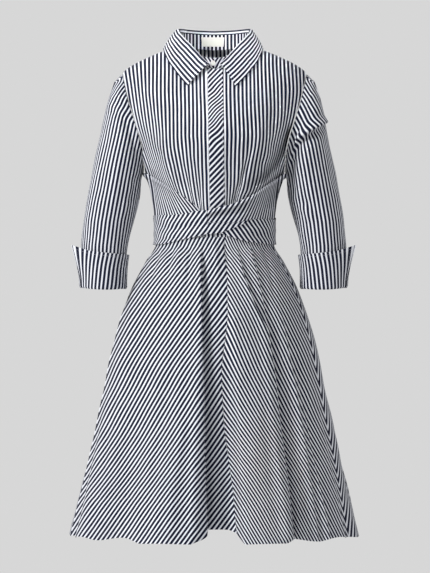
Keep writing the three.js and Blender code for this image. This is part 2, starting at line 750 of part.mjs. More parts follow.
// A cuff is an open strip round the end of the sleeve, parted by the slit, with flared corners
function cuffPiece(side) {
  const from = cuff.slitAt + cuff.slitHalf;
  const to = cuff.slitAt - cuff.slitHalf + 360;
  const grid = (inward) => Array.from({ length: cuff.steps + 1 }, (_, i) => (
    Array.from({ length: cuff.round + 1 }, (__, j) => {
      const turn = THREE.MathUtils.lerp(to, from, j / cuff.round);
      const up = 1 - i / cuff.steps;
      const ring = THREE.MathUtils.lerp(cuff.ringFrom, cuff.ringTo, 1 - up);
      const toSlit = Math.min(turn - from, to - turn) / cuff.cornerSpread;
      const corner = toSlit < 1 ? (1 - toSlit) ** 2 * up ** 1.5 : 0;
      const lift = THREE.MathUtils.lerp(cuff.footLift, cuff.topLift, up) + cuff.cornerFlare * corner;
      const point = sleevePoint(turn, ring);
      point.addScaledVector(sleeveNormal(turn, ring), clothWall + lift - inward);
      point.z += cuff.cornerRise * corner;
      point.x += side.lean * ((ring + 1) / sleeveRings.length);
      return point;
    })));
  const flip = (points) => points.map((row) => (
    side.sign > 0 ? row : [...row].reverse().map((p) => new THREE.Vector3(-p.x, p.y, p.z))));
  return piece(`cuff_${side.name}`, wallBetween(flip(grid(0)), flip(grid(clothWall))));
}

function sleevePiece(side) {
  const { outer, inner } = sleeveGrids(side);
  return piece(`sleeve_${side.name}`, wallBetween(outer, inner, true));
}

const dress = new THREE.Group();
dress.add(
  ...bodicePieces(),
  ...skirtPieces(),
  collarStand(),
  collarFall(),
  buttonOnStand(),
  labelInNeck(),
  placketPiece(),
  ...wrapPieces.map(wrapPiece),
  ...Object.values(sides).flatMap((side) => [sleevePiece(side), cuffPiece(side)]),
);

export default dress;
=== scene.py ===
import math

import bpy
import numpy as np
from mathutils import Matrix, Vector


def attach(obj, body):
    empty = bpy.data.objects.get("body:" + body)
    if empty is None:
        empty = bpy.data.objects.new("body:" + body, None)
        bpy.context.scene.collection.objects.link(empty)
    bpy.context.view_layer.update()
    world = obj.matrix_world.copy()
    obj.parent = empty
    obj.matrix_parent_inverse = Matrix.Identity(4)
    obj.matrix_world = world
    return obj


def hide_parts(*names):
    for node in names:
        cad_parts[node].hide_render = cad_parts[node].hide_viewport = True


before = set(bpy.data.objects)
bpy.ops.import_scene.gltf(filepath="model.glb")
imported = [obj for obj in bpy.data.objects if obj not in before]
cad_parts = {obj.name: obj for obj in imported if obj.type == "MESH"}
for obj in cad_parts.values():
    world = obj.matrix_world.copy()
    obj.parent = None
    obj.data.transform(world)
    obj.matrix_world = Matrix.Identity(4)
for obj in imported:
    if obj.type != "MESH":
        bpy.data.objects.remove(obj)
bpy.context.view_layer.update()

mm = 0.001
stripePeriod = 8.0
randomWaves = np.random.default_rng(41)


# Tables and smooth reading between their rows

def table(columns, rows):
    return {name: np.array(values, float) for name, values in zip(columns.split(), zip(*rows))}


def read(rows, key, column, at):
    x, y = rows[key], rows[column]
    if x[0] > x[-1]:
        x, y = x[::-1], y[::-1]
    slope = np.diff(y) / np.diff(x)
    before, after = slope[:-1], slope[1:]
    total = np.where(before + after == 0, 1, before + after)
    inner = np.where(before * after > 0, 2 * before * after / total, 0)
    tangent = np.concatenate((slope[:1], inner, slope[-1:]))
    at = np.clip(at, x[0], x[-1])
    i = np.clip(np.searchsorted(x, at, side="right") - 1, 0, len(slope) - 1)
    span = x[i + 1] - x[i]
    s = (at - x[i]) / span
    s2, s3 = s * s, s * s * s
    return ((2 * s3 - 3 * s2 + 1) * y[i] + (s3 - 2 * s2 + s) * span * tangent[i]
            + (3 * s2 - 2 * s3) * y[i + 1] + (s3 - s2) * span * tangent[i + 1])


def smooth(share):
    share = np.clip(share, 0, 1)
    return share * share * (3 - 2 * share)


def mix(a, b, share):
    return a + (b - a) * share


# The form of the dress

shoulderX, shoulderZ = 184, -43
underarmZ, waistZ, hemZ = -238, -372, -967
neckHalf = 62
cameraFar, cameraHeight = 6000, -469
seamGap = 0.4
cadWall, layerGap = 1.2, 0.9

formRows = table("z half front back side", [
    (14, 62, 30, 40, 6), (5, 94, 40, 52, 6), (-4, 118, 48, 60, 5), (-12, 136, 53, 65, 4),
    (-20, 153, 57, 69, 4), (-30, 170, 60, 74, 4), (-38, 180, 63, 77, 3), (-43, 184, 66, 79, 3),
    (-75, 189, 80, 88, 2), (-100, 188, 92, 94, 2), (-142, 176, 110, 99, 1), (-175, 161, 117, 100, 0),
    (-205, 147, 114, 98, 0), (-238, 140, 108, 94, 0), (-276, 127, 101, 89, 0), (-310, 121, 97, 86, 0),
    (-345, 118, 95, 84, 0), (-372, 118, 95, 84, 0), (-388, 120, 97, 87, 0), (-420, 140, 112, 104, 0),
    (-480, 170, 133, 128, 0), (-568, 198, 152, 150, 0), (-680, 223, 172, 172, 0),
    (-800, 250, 193, 196, 0), (-970, 289, 222, 230, 0),
])

# A fold's walls stand steeper with a higher power, and its bottom moves to the left with skew
skirtFolds = table("at spread depth begins lift power skew", [
    (1.4, 10.5, -44, -400, 26, 5, 0), (-18, 15, 12, -400, 2, 2, 0), (20, 14, 12, -400, 2, 2, 0),
    (-42, 13, -20, -430, 8, 2, 0), (41, 13, -24, -420, 7, 2, 0.6), (-63, 13, 10, -480, 7, 2, 0),
    (56, 13, 10, -480, 8, 2, 0), (71, 10, -10, -500, 3, 2, 0), (-80, 9, -7, -520, 3, 2, 0),
    (106, 12, 12, -450, 0, 2, 0), (125, 13, -24, -400, 7, 2, 0), (145, 13, 13, -400, 1, 2, 0),
    (163, 13, -27, -400, 8, 2, 0), (183, 14, 12, -400, 0, 2, 0), (203, 13, -25, -400, 8, 2, 0),
    (222, 12, 14, -420, 1, 2, 0), (240, 12, -20, -430, 6, 2, 0), (257, 11, 10, -470, 0, 2, 0),
])

armholeEdge = table("z x", [
    (-43, 184), (-75, 177), (-100, 171), (-142, 158), (-175, 148), (-205, 142), (-238, 140),
])


def angleApart(a, b):
    return (a - b + 180) % 360 - 180


def foldShares(angle):
    for i in range(len(skirtFolds["at"])):
        fold = {name: values[i] for name, values in skirtFolds.items()}
        across = np.clip(angleApart(angle, fold["at"]) / fold["spread"], -1, 1)
        across = across + fold["skew"] * (1 - across ** 2)
        yield fold, (1 - np.abs(across) ** fold["power"]) ** 2


def hemHeight(angle):
    return hemZ + sum(fold["lift"] * share for fold, share in foldShares(angle))


def formPoint(angle, z):
    angle, z = np.broadcast_arrays(np.asarray(angle, float), np.asarray(z, float))
    side = read(formRows, "z", "side", z)
    ahead = np.cos(np.radians(angle))
    front, back = read(formRows, "z", "front", z), read(formRows, "z", "back", z)
    reach = np.where(ahead > 0, front + side, back - side)
    fold = np.zeros_like(z)
    for row, share in foldShares(angle):
        grown = np.clip((row["begins"] - z) / (row["begins"] - hemZ), 0, 1)
        fold += row["depth"] * grown ** 1.25 * share
    fold = np.where(z < waistZ, fold, 0)
    x = (read(formRows, "z", "half", z) + fold) * np.sin(np.radians(angle))
    return np.stack([x, side - (reach + fold) * ahead, z], axis=-1)


def unit(vectors):
    return vectors / np.maximum(np.linalg.norm(vectors, axis=-1, keepdims=True), 1e-9)


def formNormal(angle, z):
    around = formPoint(angle + 0.4, z) - formPoint(angle - 0.4, z)
    up = formPoint(angle, z + 0.8) - formPoint(angle, z - 0.8)
    return unit(np.cross(around, up))


def formOffset(angle, z, out):
    return formPoint(angle, z) + formNormal(angle, z) * np.asarray(out)[..., None]


def angleAcross(x, z, isBack):
    depth = read(formRows, "z", "front", z) + read(formRows, "z", "side", z)
    seam = 90 - np.degrees(seamGap / 2 / depth)
    angle = np.minimum(np.degrees(np.arcsin(np.clip(x / read(formRows, "z", "half", z), 0, 1))), seam)
    return np.where(isBack, 180 - angle, angle)


def layerOut(layer):
    return layer * (cadWall + layerGap)


# Distance along each row of a grid from its first column, and down each column from its first row
def arcAcross(points):
    steps = np.linalg.norm(np.diff(points, axis=1), axis=-1)
    return np.concatenate([np.zeros((len(points), 1)), np.cumsum(steps, axis=1)], axis=1)


def arcDown(points):
    steps = np.linalg.norm(np.diff(points, axis=0), axis=-1)
    return np.concatenate([np.zeros((1, points.shape[1])), np.cumsum(steps, axis=0)], axis=0)


# A seam rolls the last millimetres of the cloth inward
def seamDip(points, borders, depth=0.9, reach=2.2):
    across, down = arcAcross(points), arcDown(points)
    far = {"left": across, "right": across[:, -1:] - across, "top": down, "bottom": down[-1:] - down}
    return -depth * sum(np.exp(-(far[border] / reach) ** 2) for border in borders)


# Soft unevenness that runs on from piece to piece: plane waves in space, about a millimetre high
waveDirections = unit(randomWaves.normal(size=(9, 3)) * (1, 1, 0.6))
waveLengths = randomWaves.uniform(34, 110, 9)
wavePhases = randomWaves.uniform(0, 2 * math.pi, 9)


def unevenness(points, height=0.7):
    turns = points @ waveDirections.T * (2 * math.pi / waveLengths) + wavePhases
    return height * (np.sin(turns) * (waveLengths / 80)).sum(axis=-1) / 2.4


# Creases: lines in the front view of the photograph, two millimetres a pixel

def fromPixels(path):
    path = np.array(path, float)
    return np.stack([(path[:, 0] - 214.5) * 2, (52 - path[:, 1]) * 2], axis=-1)


# Where the camera sees each point, on the upright plane through the origin
def seen(points):
    nearer = cameraFar / (cameraFar + points[..., 1])
    return points[..., 0] * nearer, cameraHeight + (points[..., 2] - cameraHeight) * nearer


def lineField(path, x, z):
    starts, steps = path[:-1], np.diff(path, axis=0)
    lengths = np.linalg.norm(steps, axis=1)
    begun = np.concatenate(([0], np.cumsum(lengths)))
    nearest = np.full(x.shape, 1e9)
    along = np.zeros(x.shape)
    side = np.ones(x.shape)
    for start, step, length, before in zip(starts, steps, lengths, begun):
        share = np.clip(((x - start[0]) * step[0] + (z - start[1]) * step[1]) / length ** 2, 0, 1)
        dx, dz = x - start[0] - share * step[0], z - start[1] - share * step[1]
        far = np.hypot(dx, dz)
        closer = far < nearest
        nearest = np.where(closer, far, nearest)
        along = np.where(closer, (before + share * length) / begun[-1], along)
        side = np.where(closer, np.sign(step[0] * (z - start[1]) - step[1] * (x - start[0])), side)
    return nearest * side, along


# A soft crease is even on both sides. A lip drops steeply on its right, looking down its line.
def creaseOut(creases, x, z):
    out = np.zeros(x.shape)
    for crease in creases:
        far, along = lineField(crease["line"], x, z)
        across = far / (crease["width"] * mix(1, crease.get("widen", 1), along))
        if crease.get("kind", "soft") == "soft":
            profile = np.exp(-across ** 2)
        else:
            across = across * crease.get("side", 1)
            rise = np.exp(-(np.minimum(across, 0) / 1.5) ** 2) * np.exp(-(np.maximum(across, 0) / 0.3) ** 2)
            beyond = across - 0.62
            profile = rise - 0.75 * np.exp(-(beyond / np.where(beyond < 0, 0.36, 1.2)) ** 2)
        ends = smooth(along / crease.get("start", 0.25)) * smooth((1 - along) / crease.get("end", 0.25))
        out += crease["depth"] * mix(1, crease.get("deepen", 1), along) * ends * profile
    return out


def crease(depth, width, line, **more):
    return {"depth": depth, "width": width, "line": fromPixels(line), **more}


# Stripes that follow lines seen in the front view: where each line of the cloth runs at each height
def followLines(heights, cloth, lines, x, z):
    rows = {"z": (52 - np.array(heights, float)) * 2}
    for k, line in enumerate(lines):
        rows[str(k)] = (np.array(line, float) - 214.5) * 2
    places = np.stack([read(rows, "z", str(k), z) for k in range(len(lines))])
    across = np.full(x.shape, float(cloth[0]))
    for k in range(len(lines) - 1):
        width = np.maximum(np.abs(places[k + 1] - places[k]), 1.0) * np.sign(lines[1][0] - lines[0][0])
        across += (cloth[k + 1] - cloth[k]) * np.clip((x - places[k]) / width, 0, 1)
    sense = np.sign(cloth[1] - cloth[0]) * np.sign(lines[1][0] - lines[0][0])
    outward = np.sign(lines[-1][0] - lines[0][0])
    across += sense * outward * np.minimum((x - places[0]) * outward, 0)
    return across + sense * outward * np.maximum((x - places[-1]) * outward, 0) * 1.3


# Materials

def newMaterial(name):
    material = bpy.data.materials.new(name)
    material.use_nodes = True
    nodes, links = material.node_tree.nodes, material.node_tree.links
    return material, nodes, links, nodes["Principled BSDF"]


def mathNode(nodes, links, operation, first, second=None):
    node = nodes.new("ShaderNodeMath")
    node.operation = operation
    for socket, value in zip(node.inputs, (first, second)):
        if isinstance(value, (int, float)):
            socket.default_value = value
        elif value is not None:
            links.new(value, socket)
    return node.outputs[0]


def stripedCotton():
    look = {
        "navy": (0.0035, 0.0055, 0.021, 1), "white": (0.62, 0.635, 0.68, 1), "navyShare": 0.6, "edge": 0.08,
        "roughness": 0.7, "sheen": 0.035, "sheenRoughness": 0.4, "specular": 0.16,
        "yarnScale": 2600, "wrinkleScale": 62, "wrinkleBump": 0.25, "weaveBump": 0.12,
    }
    material, nodes, links, shader = newMaterial("striped cotton")
    cut = nodes.new("ShaderNodeUVMap")
    cut.uv_map = "cut"
    place = nodes.new("ShaderNodeSeparateXYZ")
    links.new(cut.outputs["UV"], place.inputs[0])
    across, along = place.outputs["X"], place.outputs["Y"]

    # Each stripe wavers by a few hundredths of a millimetre along its yarns
    stretch = nodes.new("ShaderNodeCombineXYZ")
    links.new(mathNode(nodes, links, "MULTIPLY", across, 260.0), stretch.inputs["X"])
    links.new(mathNode(nodes, links, "MULTIPLY", along, 34.0), stretch.inputs["Y"])
    waver = nodes.new("ShaderNodeTexNoise")
    waver.noise_dimensions = "2D"
    waver.inputs["Scale"].default_value = 1.0
    waver.inputs["Detail"].default_value = 1.0
    links.new(stretch.outputs[0], waver.inputs["Vector"])
    turns = mathNode(nodes, links, "MULTIPLY", across, 1000 / stripePeriod)
    shift = mathNode(nodes, links, "MULTIPLY_ADD", waver.outputs["Fac"], 0.07)
    nodes[shift.node.name].inputs[2].default_value = -0.035
    place01 = mathNode(nodes, links, "FRACT", mathNode(nodes, links, "ADD", turns, shift))
    fromMiddle = mathNode(nodes, links, "ABSOLUTE", mathNode(nodes, links, "SUBTRACT", place01, 0.5))
    stripe = nodes.new("ShaderNodeMapRange")
    stripe.interpolation_type = "SMOOTHSTEP"
    half = look["navyShare"] / 2
    stripe.inputs["From Min"].default_value = half - look["edge"] / 4
    stripe.inputs["From Max"].default_value = half + look["edge"] / 4
    links.new(fromMiddle, stripe.inputs["Value"])

    # Yarns: slubs of slightly darker and lighter cotton along the stripe
    yarn = nodes.new("ShaderNodeTexNoise")
    yarn.noise_dimensions = "2D"
    yarn.inputs["Scale"].default_value = 1.0
    yarn.inputs["Detail"].default_value = 2.0
    slub = nodes.new("ShaderNodeCombineXYZ")
    links.new(mathNode(nodes, links, "MULTIPLY", across, float(look["yarnScale"])), slub.inputs["X"])
    links.new(mathNode(nodes, links, "MULTIPLY", along, 90.0), slub.inputs["Y"])
    links.new(slub.outputs[0], yarn.inputs["Vector"])
    tone = nodes.new("ShaderNodeMapRange")
    tone.inputs["To Min"].default_value = 0.9
    tone.inputs["To Max"].default_value = 1.06
    links.new(yarn.outputs["Fac"], tone.inputs["Value"])
    dye = nodes.new("ShaderNodeMix")
    dye.data_type = "RGBA"
    dye.inputs[6].default_value = look["navy"]
    dye.inputs[7].default_value = look["white"]
    links.new(stripe.outputs[0], dye.inputs[0])
    toned = nodes.new("ShaderNodeVectorMath")
    toned.operation = "SCALE"
    links.new(dye.outputs[2], toned.inputs[0])
    links.new(tone.outputs[0], toned.inputs["Scale"])
    links.new(toned.outputs[0], shader.inputs["Base Color"])

    # Plain weave and the light crumple of worn poplin
    weave = mathNode(nodes, links, "MULTIPLY",
                     mathNode(nodes, links, "SINE", mathNode(nodes, links, "MULTIPLY", across, 16000.0)),
                     mathNode(nodes, links, "SINE", mathNode(nodes, links, "MULTIPLY", along, 16000.0)))
    weaveBump = nodes.new("ShaderNodeBump")
    weaveBump.inputs["Strength"].default_value = look["weaveBump"]
    weaveBump.inputs["Distance"].default_value = 0.0001
    links.new(weave, weaveBump.inputs["Height"])
    position = nodes.new("ShaderNodeTexCoord")
    wrinkle = nodes.new("ShaderNodeTexNoise")
    wrinkle.inputs["Scale"].default_value = look["wrinkleScale"]
    wrinkle.inputs["Detail"].default_value = 2.0
    links.new(position.outputs["Object"], wrinkle.inputs["Vector"])
    wrinkleBump = nodes.new("ShaderNodeBump")
    wrinkleBump.inputs["Strength"].default_value = look["wrinkleBump"]
    wrinkleBump.inputs["Distance"].default_value = 0.002
    links.new(wrinkle.outputs["Fac"], wrinkleBump.inputs["Height"])
    links.new(weaveBump.outputs[0], wrinkleBump.inputs["Normal"])
    links.new(wrinkleBump.outputs[0], shader.inputs["Normal"])
    shader.inputs["Roughness"].default_value = look["roughness"]
    shader.inputs["Specular IOR Level"].default_value = look["specular"]
    shader.inputs["Sheen Weight"].default_value = look["sheen"]
    shader.inputs["Sheen Roughness"].default_value = look["sheenRoughness"]
    return material


def plainMaterial(name, color, roughness, sheen=0.0, grain=0.0):
    material, nodes, links, shader = newMaterial(name)
    shader.inputs["Roughness"].default_value = roughness
    shader.inputs["Sheen Weight"].default_value = sheen
    position = nodes.new("ShaderNodeTexCoord")
    noise = nodes.new("ShaderNodeTexNoise")
    noise.inputs["Scale"].default_value = 900.0
    links.new(position.outputs["Object"], noise.inputs["Vector"])
    tone = nodes.new("ShaderNodeMapRange")
    tone.inputs["To Min"].default_value = 1 - grain
    tone.inputs["To Max"].default_value = 1 + grain
    links.new(noise.outputs["Fac"], tone.inputs["Value"])
    toned = nodes.new("ShaderNodeVectorMath")
    toned.operation = "SCALE"
    toned.inputs[0].default_value = color
    links.new(tone.outputs[0], toned.inputs["Scale"])
    links.new(toned.outputs[0], shader.inputs["Base Color"])
    return material


cotton = stripedCotton()
buttonResin = plainMaterial("button resin", (0.62, 0.62, 0.60), 0.25, grain=0.03)
labelSatin = plainMaterial("label satin", (0.52, 0.51, 0.48), 0.42, sheen=0.2, grain=0.04)
threadCotton = plainMaterial("thread", (0.62, 0.63, 0.68), 0.7, grain=0.1)


# Cloth meshes

def gridMesh(name, points, across, along, closed=False):
    rows, columns = points.shape[:2]
    kept = points[:, :-1] if closed else points
    ids = np.arange(kept.shape[0] * kept.shape[1]).reshape(kept.shape[:2])
    if closed:
        ids = np.hstack([ids, ids[:, :1]])
    corners = [(slice(None, -1), slice(None, -1)), (slice(1, None), slice(None, -1)),
               (slice(1, None), slice(1, None)), (slice(None, -1), slice(1, None))]
    quads = np.stack([ids[corner] for corner in corners], axis=-1).reshape(-1, 4)
    mesh = bpy.data.meshes.new(name)
    mesh.from_pydata((kept.reshape(-1, 3) * mm).tolist(), [], quads.tolist())
    cut = np.stack([across, along], axis=-1) * mm
    uv = np.stack([cut[corner] for corner in corners], axis=2).reshape(-1, 2)
    mesh.uv_layers.new(name="cut").data.foreach_set("uv", uv.astype(np.float32).ravel())
    mesh.shade_smooth()
    loopEdges = np.empty(len(mesh.loops), np.int32)
    mesh.loops.foreach_get("edge_index", loopEdges)
    border = np.bincount(loopEdges, minlength=len(mesh.edges)) == 1
    mesh.edges.foreach_set("use_edge_sharp", border)
    mesh.update()
    piece = bpy.data.objects.new(name, mesh)
    bpy.context.scene.collection.objects.link(piece)
    return piece


surfaces = {}


def addCloth(node, points, across, along, wall=0.6, closed=False):
    piece = gridMesh(node + "_cloth", points, across, along, closed)
    piece.data.materials.append(cotton)
    thickness = piece.modifiers.new("cloth", "SOLIDIFY")
    thickness.thickness = wall * mm
    thickness.offset = -1
    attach(piece, "root")
    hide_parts(node)
    surfaces[node] = points
    print(f"{node}: {points.shape[0] * points.shape[1]} points")
    return piece


# Bodice

neckRows = table("turn seamZ standZ standFront", [
    (0, -38, -17, 66), (15, -36, -15, 67), (30, -30, -6, 66), (45, -20, 6, 64), (60, -8, 20, 62),
    (75, 4, 34, 60), (90, 14, 42, 58), (120, 10, 44, 58), (150, 8, 43, 58), (180, 6, 42, 58),
])


def shoulderLevel(x):
    heights = np.linspace(shoulderZ, 14, 400)
    return np.interp(-x, -read(formRows, "z", "half", heights), heights)


def outerEdgeX(z):
    below = np.where(z > underarmZ, read(armholeEdge, "z", "x", z), read(formRows, "z", "half", z))
    return np.where(z >= shoulderZ, shoulderX, below)


def bodiceCells(isBack, across=100, down=120):
    neckShare = 0.36
    share = np.linspace(0, 1, across)
    turn = np.clip(share / neckShare, 0, 1) * 90
    first = math.asin(neckHalf / shoulderX)
    reach = mix(first, math.pi / 2, np.clip((share - neckShare) / (1 - neckShare), 0, 1))
    topX = np.where(share <= neckShare, neckHalf * np.sin(np.radians(turn)), shoulderX * np.sin(reach))
    seam = read(neckRows, "turn", "seamZ", 180 - turn if isBack else turn)
    topZ = np.where(share <= neckShare, seam, shoulderLevel(topX))
    levels = np.linspace(0, 1, down)[:, None]
    z = mix(topZ, waistZ + seamGap, levels)
    x = np.maximum(topX / shoulderX * outerEdgeX(z), seamGap / 2 if not isBack else 0)
    return angleAcross(x, z, isBack), z


bodiceCreases = {
    "left": [
        crease(-3.5, 5, [(251, 160), (243, 176), (237, 192), (235, 204)], end=0.1),
        crease(3.5, 7, [(262, 120), (258, 145), (250, 170), (241, 190)]),
        crease(-3, 9, [(276, 84), (275, 110), (268, 140)]),
        crease(2, 8, [(242, 110), (242, 140), (239, 170), (237, 196)]),
    ],
    "right": [
        crease(-3, 5, [(187, 158), (193, 176), (199, 190), (201, 204)], end=0.1),
        crease(2.5, 7, [(182, 120), (186, 148), (192, 170), (197, 186)]),
        crease(-2, 9, [(141, 78), (146, 100), (154, 118)]),
        crease(4, 6, [(140, 150), (149, 164), (158, 174)]),
    ],
}
# The drape's hollows, towards the back as the camera sees them
drapeCreases = {
    "left": [
        crease(-30, 7, [(294, 122), (288, 138), (282, 152), (274, 165), (262, 178), (246, 191)],
            start=0.15, end=0.3),
        crease(-17, 12, [(289, 178), (277, 192), (263, 205), (250, 212)], start=0.1, end=0.4),
    ],
    "right": [
        crease(-7, 7, [(145, 124), (155, 142), (163, 157), (170, 172), (180, 188), (189, 198)]),
        crease(5, 6, [(152, 128), (161, 144), (168, 157), (175, 171), (186, 187)]),
    ],
}


def drapeHollow(side, points, angle, z):
    ahead = smooth(np.cos(np.radians(angle)) / 0.12)
    return creaseOut(drapeCreases[side], *seen(points)) * smooth((z - waistZ - 6) / 30) * ahead


frontHeights = [40, 60, 90, 110, 125, 135, 145, 155, 165, 175, 183, 190, 197, 203, 212, 240]
frontLines = {
    "left": {
        "cloth": [-4, 4, 12, 20, 28, 36, 44, 52, 60, 68, 76, 84, 92, 100, 108, 116, 132, 148, 196],
        "lines": [
            [222.4, 222.4, 222.6, 222.8, 223, 223, 223.1, 223.1, 222.9, 223.6, 223.6, 223.8, 224.1, 224.3,
                225, 226],
            [226.3, 226.3, 226.3, 226.7, 227.1, 227.3, 227.1, 227.2, 227, 227.3, 227.2, 227.3, 227.1,
                226.9, 227, 227.6],
            [230.3, 230.3, 230.3, 230.8, 231.2, 231.6, 231.3, 231, 230.8, 230.9, 230.8, 230.2, 229.9,
                229.4, 229.3, 229.3],
            [234.4, 234.4, 234.4, 234.9, 235.4, 235.7, 235.5, 235.1, 234.8, 234.5, 234.2, 233.8, 232.4,
                231.4, 231, 231],
            [238.4, 238.4, 238.4, 239, 239.6, 239.9, 239.5, 239.1, 238.9, 238.7, 238.1, 236.2, 234.6,
                233.2, 232.6, 232.4],
            [242.5, 242.5, 242.6, 243, 243.7, 244, 243.7, 243.2, 243, 241.4, 240.4, 238.4, 236.4, 235,
                234, 233.8],
            [246.4, 246.4, 246.5, 247, 247.8, 248.1, 247.8, 247.3, 244.9, 242.8, 241.6, 239.7, 237.8,
                236.4, 235.4, 235],
            [250.3, 250.3, 250.5, 251, 251.8, 252.2, 251.8, 250, 248, 246.1, 244.8, 243.2, 240.6, 239,
                237.6, 237],
            [254, 254, 254.4, 255, 255.9, 256.2, 255.4, 253.8, 251.7, 250, 248.5, 247.1, 243.8, 241.8,
                240, 239],
            [257.6, 257.6, 258.2, 259, 259.8, 260, 259.1, 257.3, 255.6, 254, 252.5, 250.7, 247.2, 245,
                243, 242],
            [261.4, 261.4, 262.2, 263, 263.4, 263.4, 262.6, 261, 259.2, 257.8, 256, 253.7, 250.3, 248,
                246, 245],
            [265.2, 265.2, 266.2, 267, 267, 266.9, 266.1, 264.4, 261.8, 261.1, 259, 256.4, 253, 250.6,
                248.6, 248],
            [269, 269, 270.2, 270.9, 270.4, 270.1, 268.9, 268, 265.3, 263.8, 261.6, 259, 255.6, 253, 251,
                250],
            [272.8, 272.8, 274.1, 274.6, 273.9, 273.2, 271.3, 270.2, 267.4, 266, 264, 261.4, 258, 255.4,
                253, 252],
            [276.6, 276.6, 277.9, 278.2, 277.4, 275.9, 273.9, 272.3, 269.4, 268, 266, 263.6, 260.4, 257.6,
                255, 254],
            [280.2, 280.2, 281.6, 281.9, 280.8, 278.6, 276.4, 274.4, 271.4, 269.8, 268, 265.6, 262.4,
                259.6, 257, 256],
            [288, 288, 289.7, 288.4, 286, 283.4, 281, 278.6, 275.4, 273.4, 271.6, 269.6, 266.4, 263.6,
                261, 260],
            [295.4, 295.6, 297.1, 294.8, 291.3, 288.2, 285.6, 283, 279.6, 277.2, 275.2, 273.2, 270.4,
                267.6, 265, 264],
            [318, 318, 318, 314, 310, 306, 303, 298, 294, 290, 287, 284, 280, 277, 274, 272],
        ],
    },
    "right": {
        "cloth": [4, -4, -12, -20, -28, -36, -44, -52, -60, -68, -76, -84, -92, -100, -108, -124, -140,
            -156, -204],
        "lines": [
            [203.8, 203.8, 204.1, 204.9, 205.3, 205.3, 205.6, 205.9, 206.1, 206.5, 206.6, 206.7, 207,
                207.2, 207.8, 209],
            [200, 200, 200.3, 201.1, 201.3, 201.3, 201.6, 201.9, 202.1, 202.5, 202.8, 202.9, 203.1, 203.3,
                204, 205],
            [196.2, 196.2, 196.7, 197.1, 197.2, 197.2, 197.8, 198, 198.2, 198.9, 199.7, 200.2, 200.6,
                201.2, 202, 203],
            [192.4, 192.4, 192.8, 193.1, 193.2, 193.2, 193.9, 194, 194.9, 196, 197.1, 198.2, 199.3, 200,
                201, 202],
            [188.4, 188.4, 188.8, 189.2, 189.3, 189.3, 189.9, 190.4, 191.6, 192.8, 193.7, 194.8, 195.7,
                197.1, 199, 200],
            [184.6, 184.6, 184.8, 185.2, 185.3, 185.3, 186, 186.9, 187.8, 189, 190, 191, 192.6, 194,
                196.4, 198],
            [180.6, 180.6, 180.8, 181.3, 181.3, 181.4, 182, 183.1, 184.4, 186.6, 188.4, 189.9, 191.6,
                193.2, 195.4, 197],
            [176.6, 176.6, 176.7, 177.3, 177.4, 177.4, 178, 179.5, 181.4, 183.3, 185.1, 186.8, 188.6,
                190.2, 193, 195],
            [172.8, 172.8, 172.8, 173.4, 173.5, 173.6, 174, 175.5, 177.4, 179.6, 181.4, 183.2, 185.4,
                187.4, 190, 192],
            [168.9, 168.9, 168.8, 169.5, 169.7, 169.9, 170.3, 171.8, 174, 176, 177.9, 179.9, 182.6, 185,
                188, 190],
            [164.9, 164.9, 164.8, 165.5, 165.9, 166.1, 166.8, 168, 170.4, 172.7, 174.8, 177.2, 180, 182.6,
                186, 188],
            [161, 161, 160.8, 161.4, 162.2, 162.8, 163.2, 164.2, 166.2, 169.4, 172.4, 175, 178, 180.6,
                184, 186],
            [157.1, 157.1, 156.9, 157.7, 158.9, 159.8, 160.2, 161.8, 164, 167, 170, 173, 176, 178.6, 182,
                184],
            [153.1, 153.1, 152.9, 154.2, 156, 156.9, 157.7, 160, 162, 165, 168, 171, 174, 176.6, 180, 182],
            [149, 149.2, 149.2, 151.2, 152.9, 153.9, 155.3, 157.8, 160.4, 163.2, 166, 169, 172, 174.6,
                178, 180],
            [140.2, 140.6, 142.3, 144.4, 146.4, 148.4, 150.6, 153.4, 156.4, 159.6, 162.6, 165.6, 168.4,
                171, 174, 176],
            [131.6, 132.4, 135.4, 138, 141, 143.6, 146.4, 149.4, 152.8, 156, 159, 162, 164.6, 167, 170,
                172],
            [122.6, 124, 128.4, 131.8, 135.6, 139, 142.4, 145.8, 149.2, 152.4, 155.4, 158, 160.6, 163,
                166, 168],
            [101, 102, 106, 110, 115, 119, 123, 128, 133, 138, 142, 146, 150, 152, 153, 154],
        ],
    },
}


def bodiceFront(side):
    sign = 1 if side == "left" else -1
    angle, z = bodiceCells(False)
    if sign < 0:
        angle, z = -angle[:, ::-1], z[:, ::-1]
    points = formPoint(angle, z)
    ahead = smooth(np.cos(np.radians(angle)) / 0.25)
    calm = smooth((-18 - z) / 40) * ahead
    out = creaseOut(bodiceCreases[side], *seen(points)) * calm + unevenness(points) * smooth((-30 - z) / 40)
    out *= smooth((z - waistZ - 6) / 40)
    out = out + seamDip(points, ["right" if sign > 0 else "left"], 1.0)
    hollow = drapeHollow(side, points, angle, z)
    points = formOffset(angle, z, out)
    points[..., 1] -= hollow
    grain = frontLines[side]
    across = followLines(frontHeights, grain["cloth"], grain["lines"], *seen(points))
    return addCloth(f"bodice_front_{side}", points, across, -z)


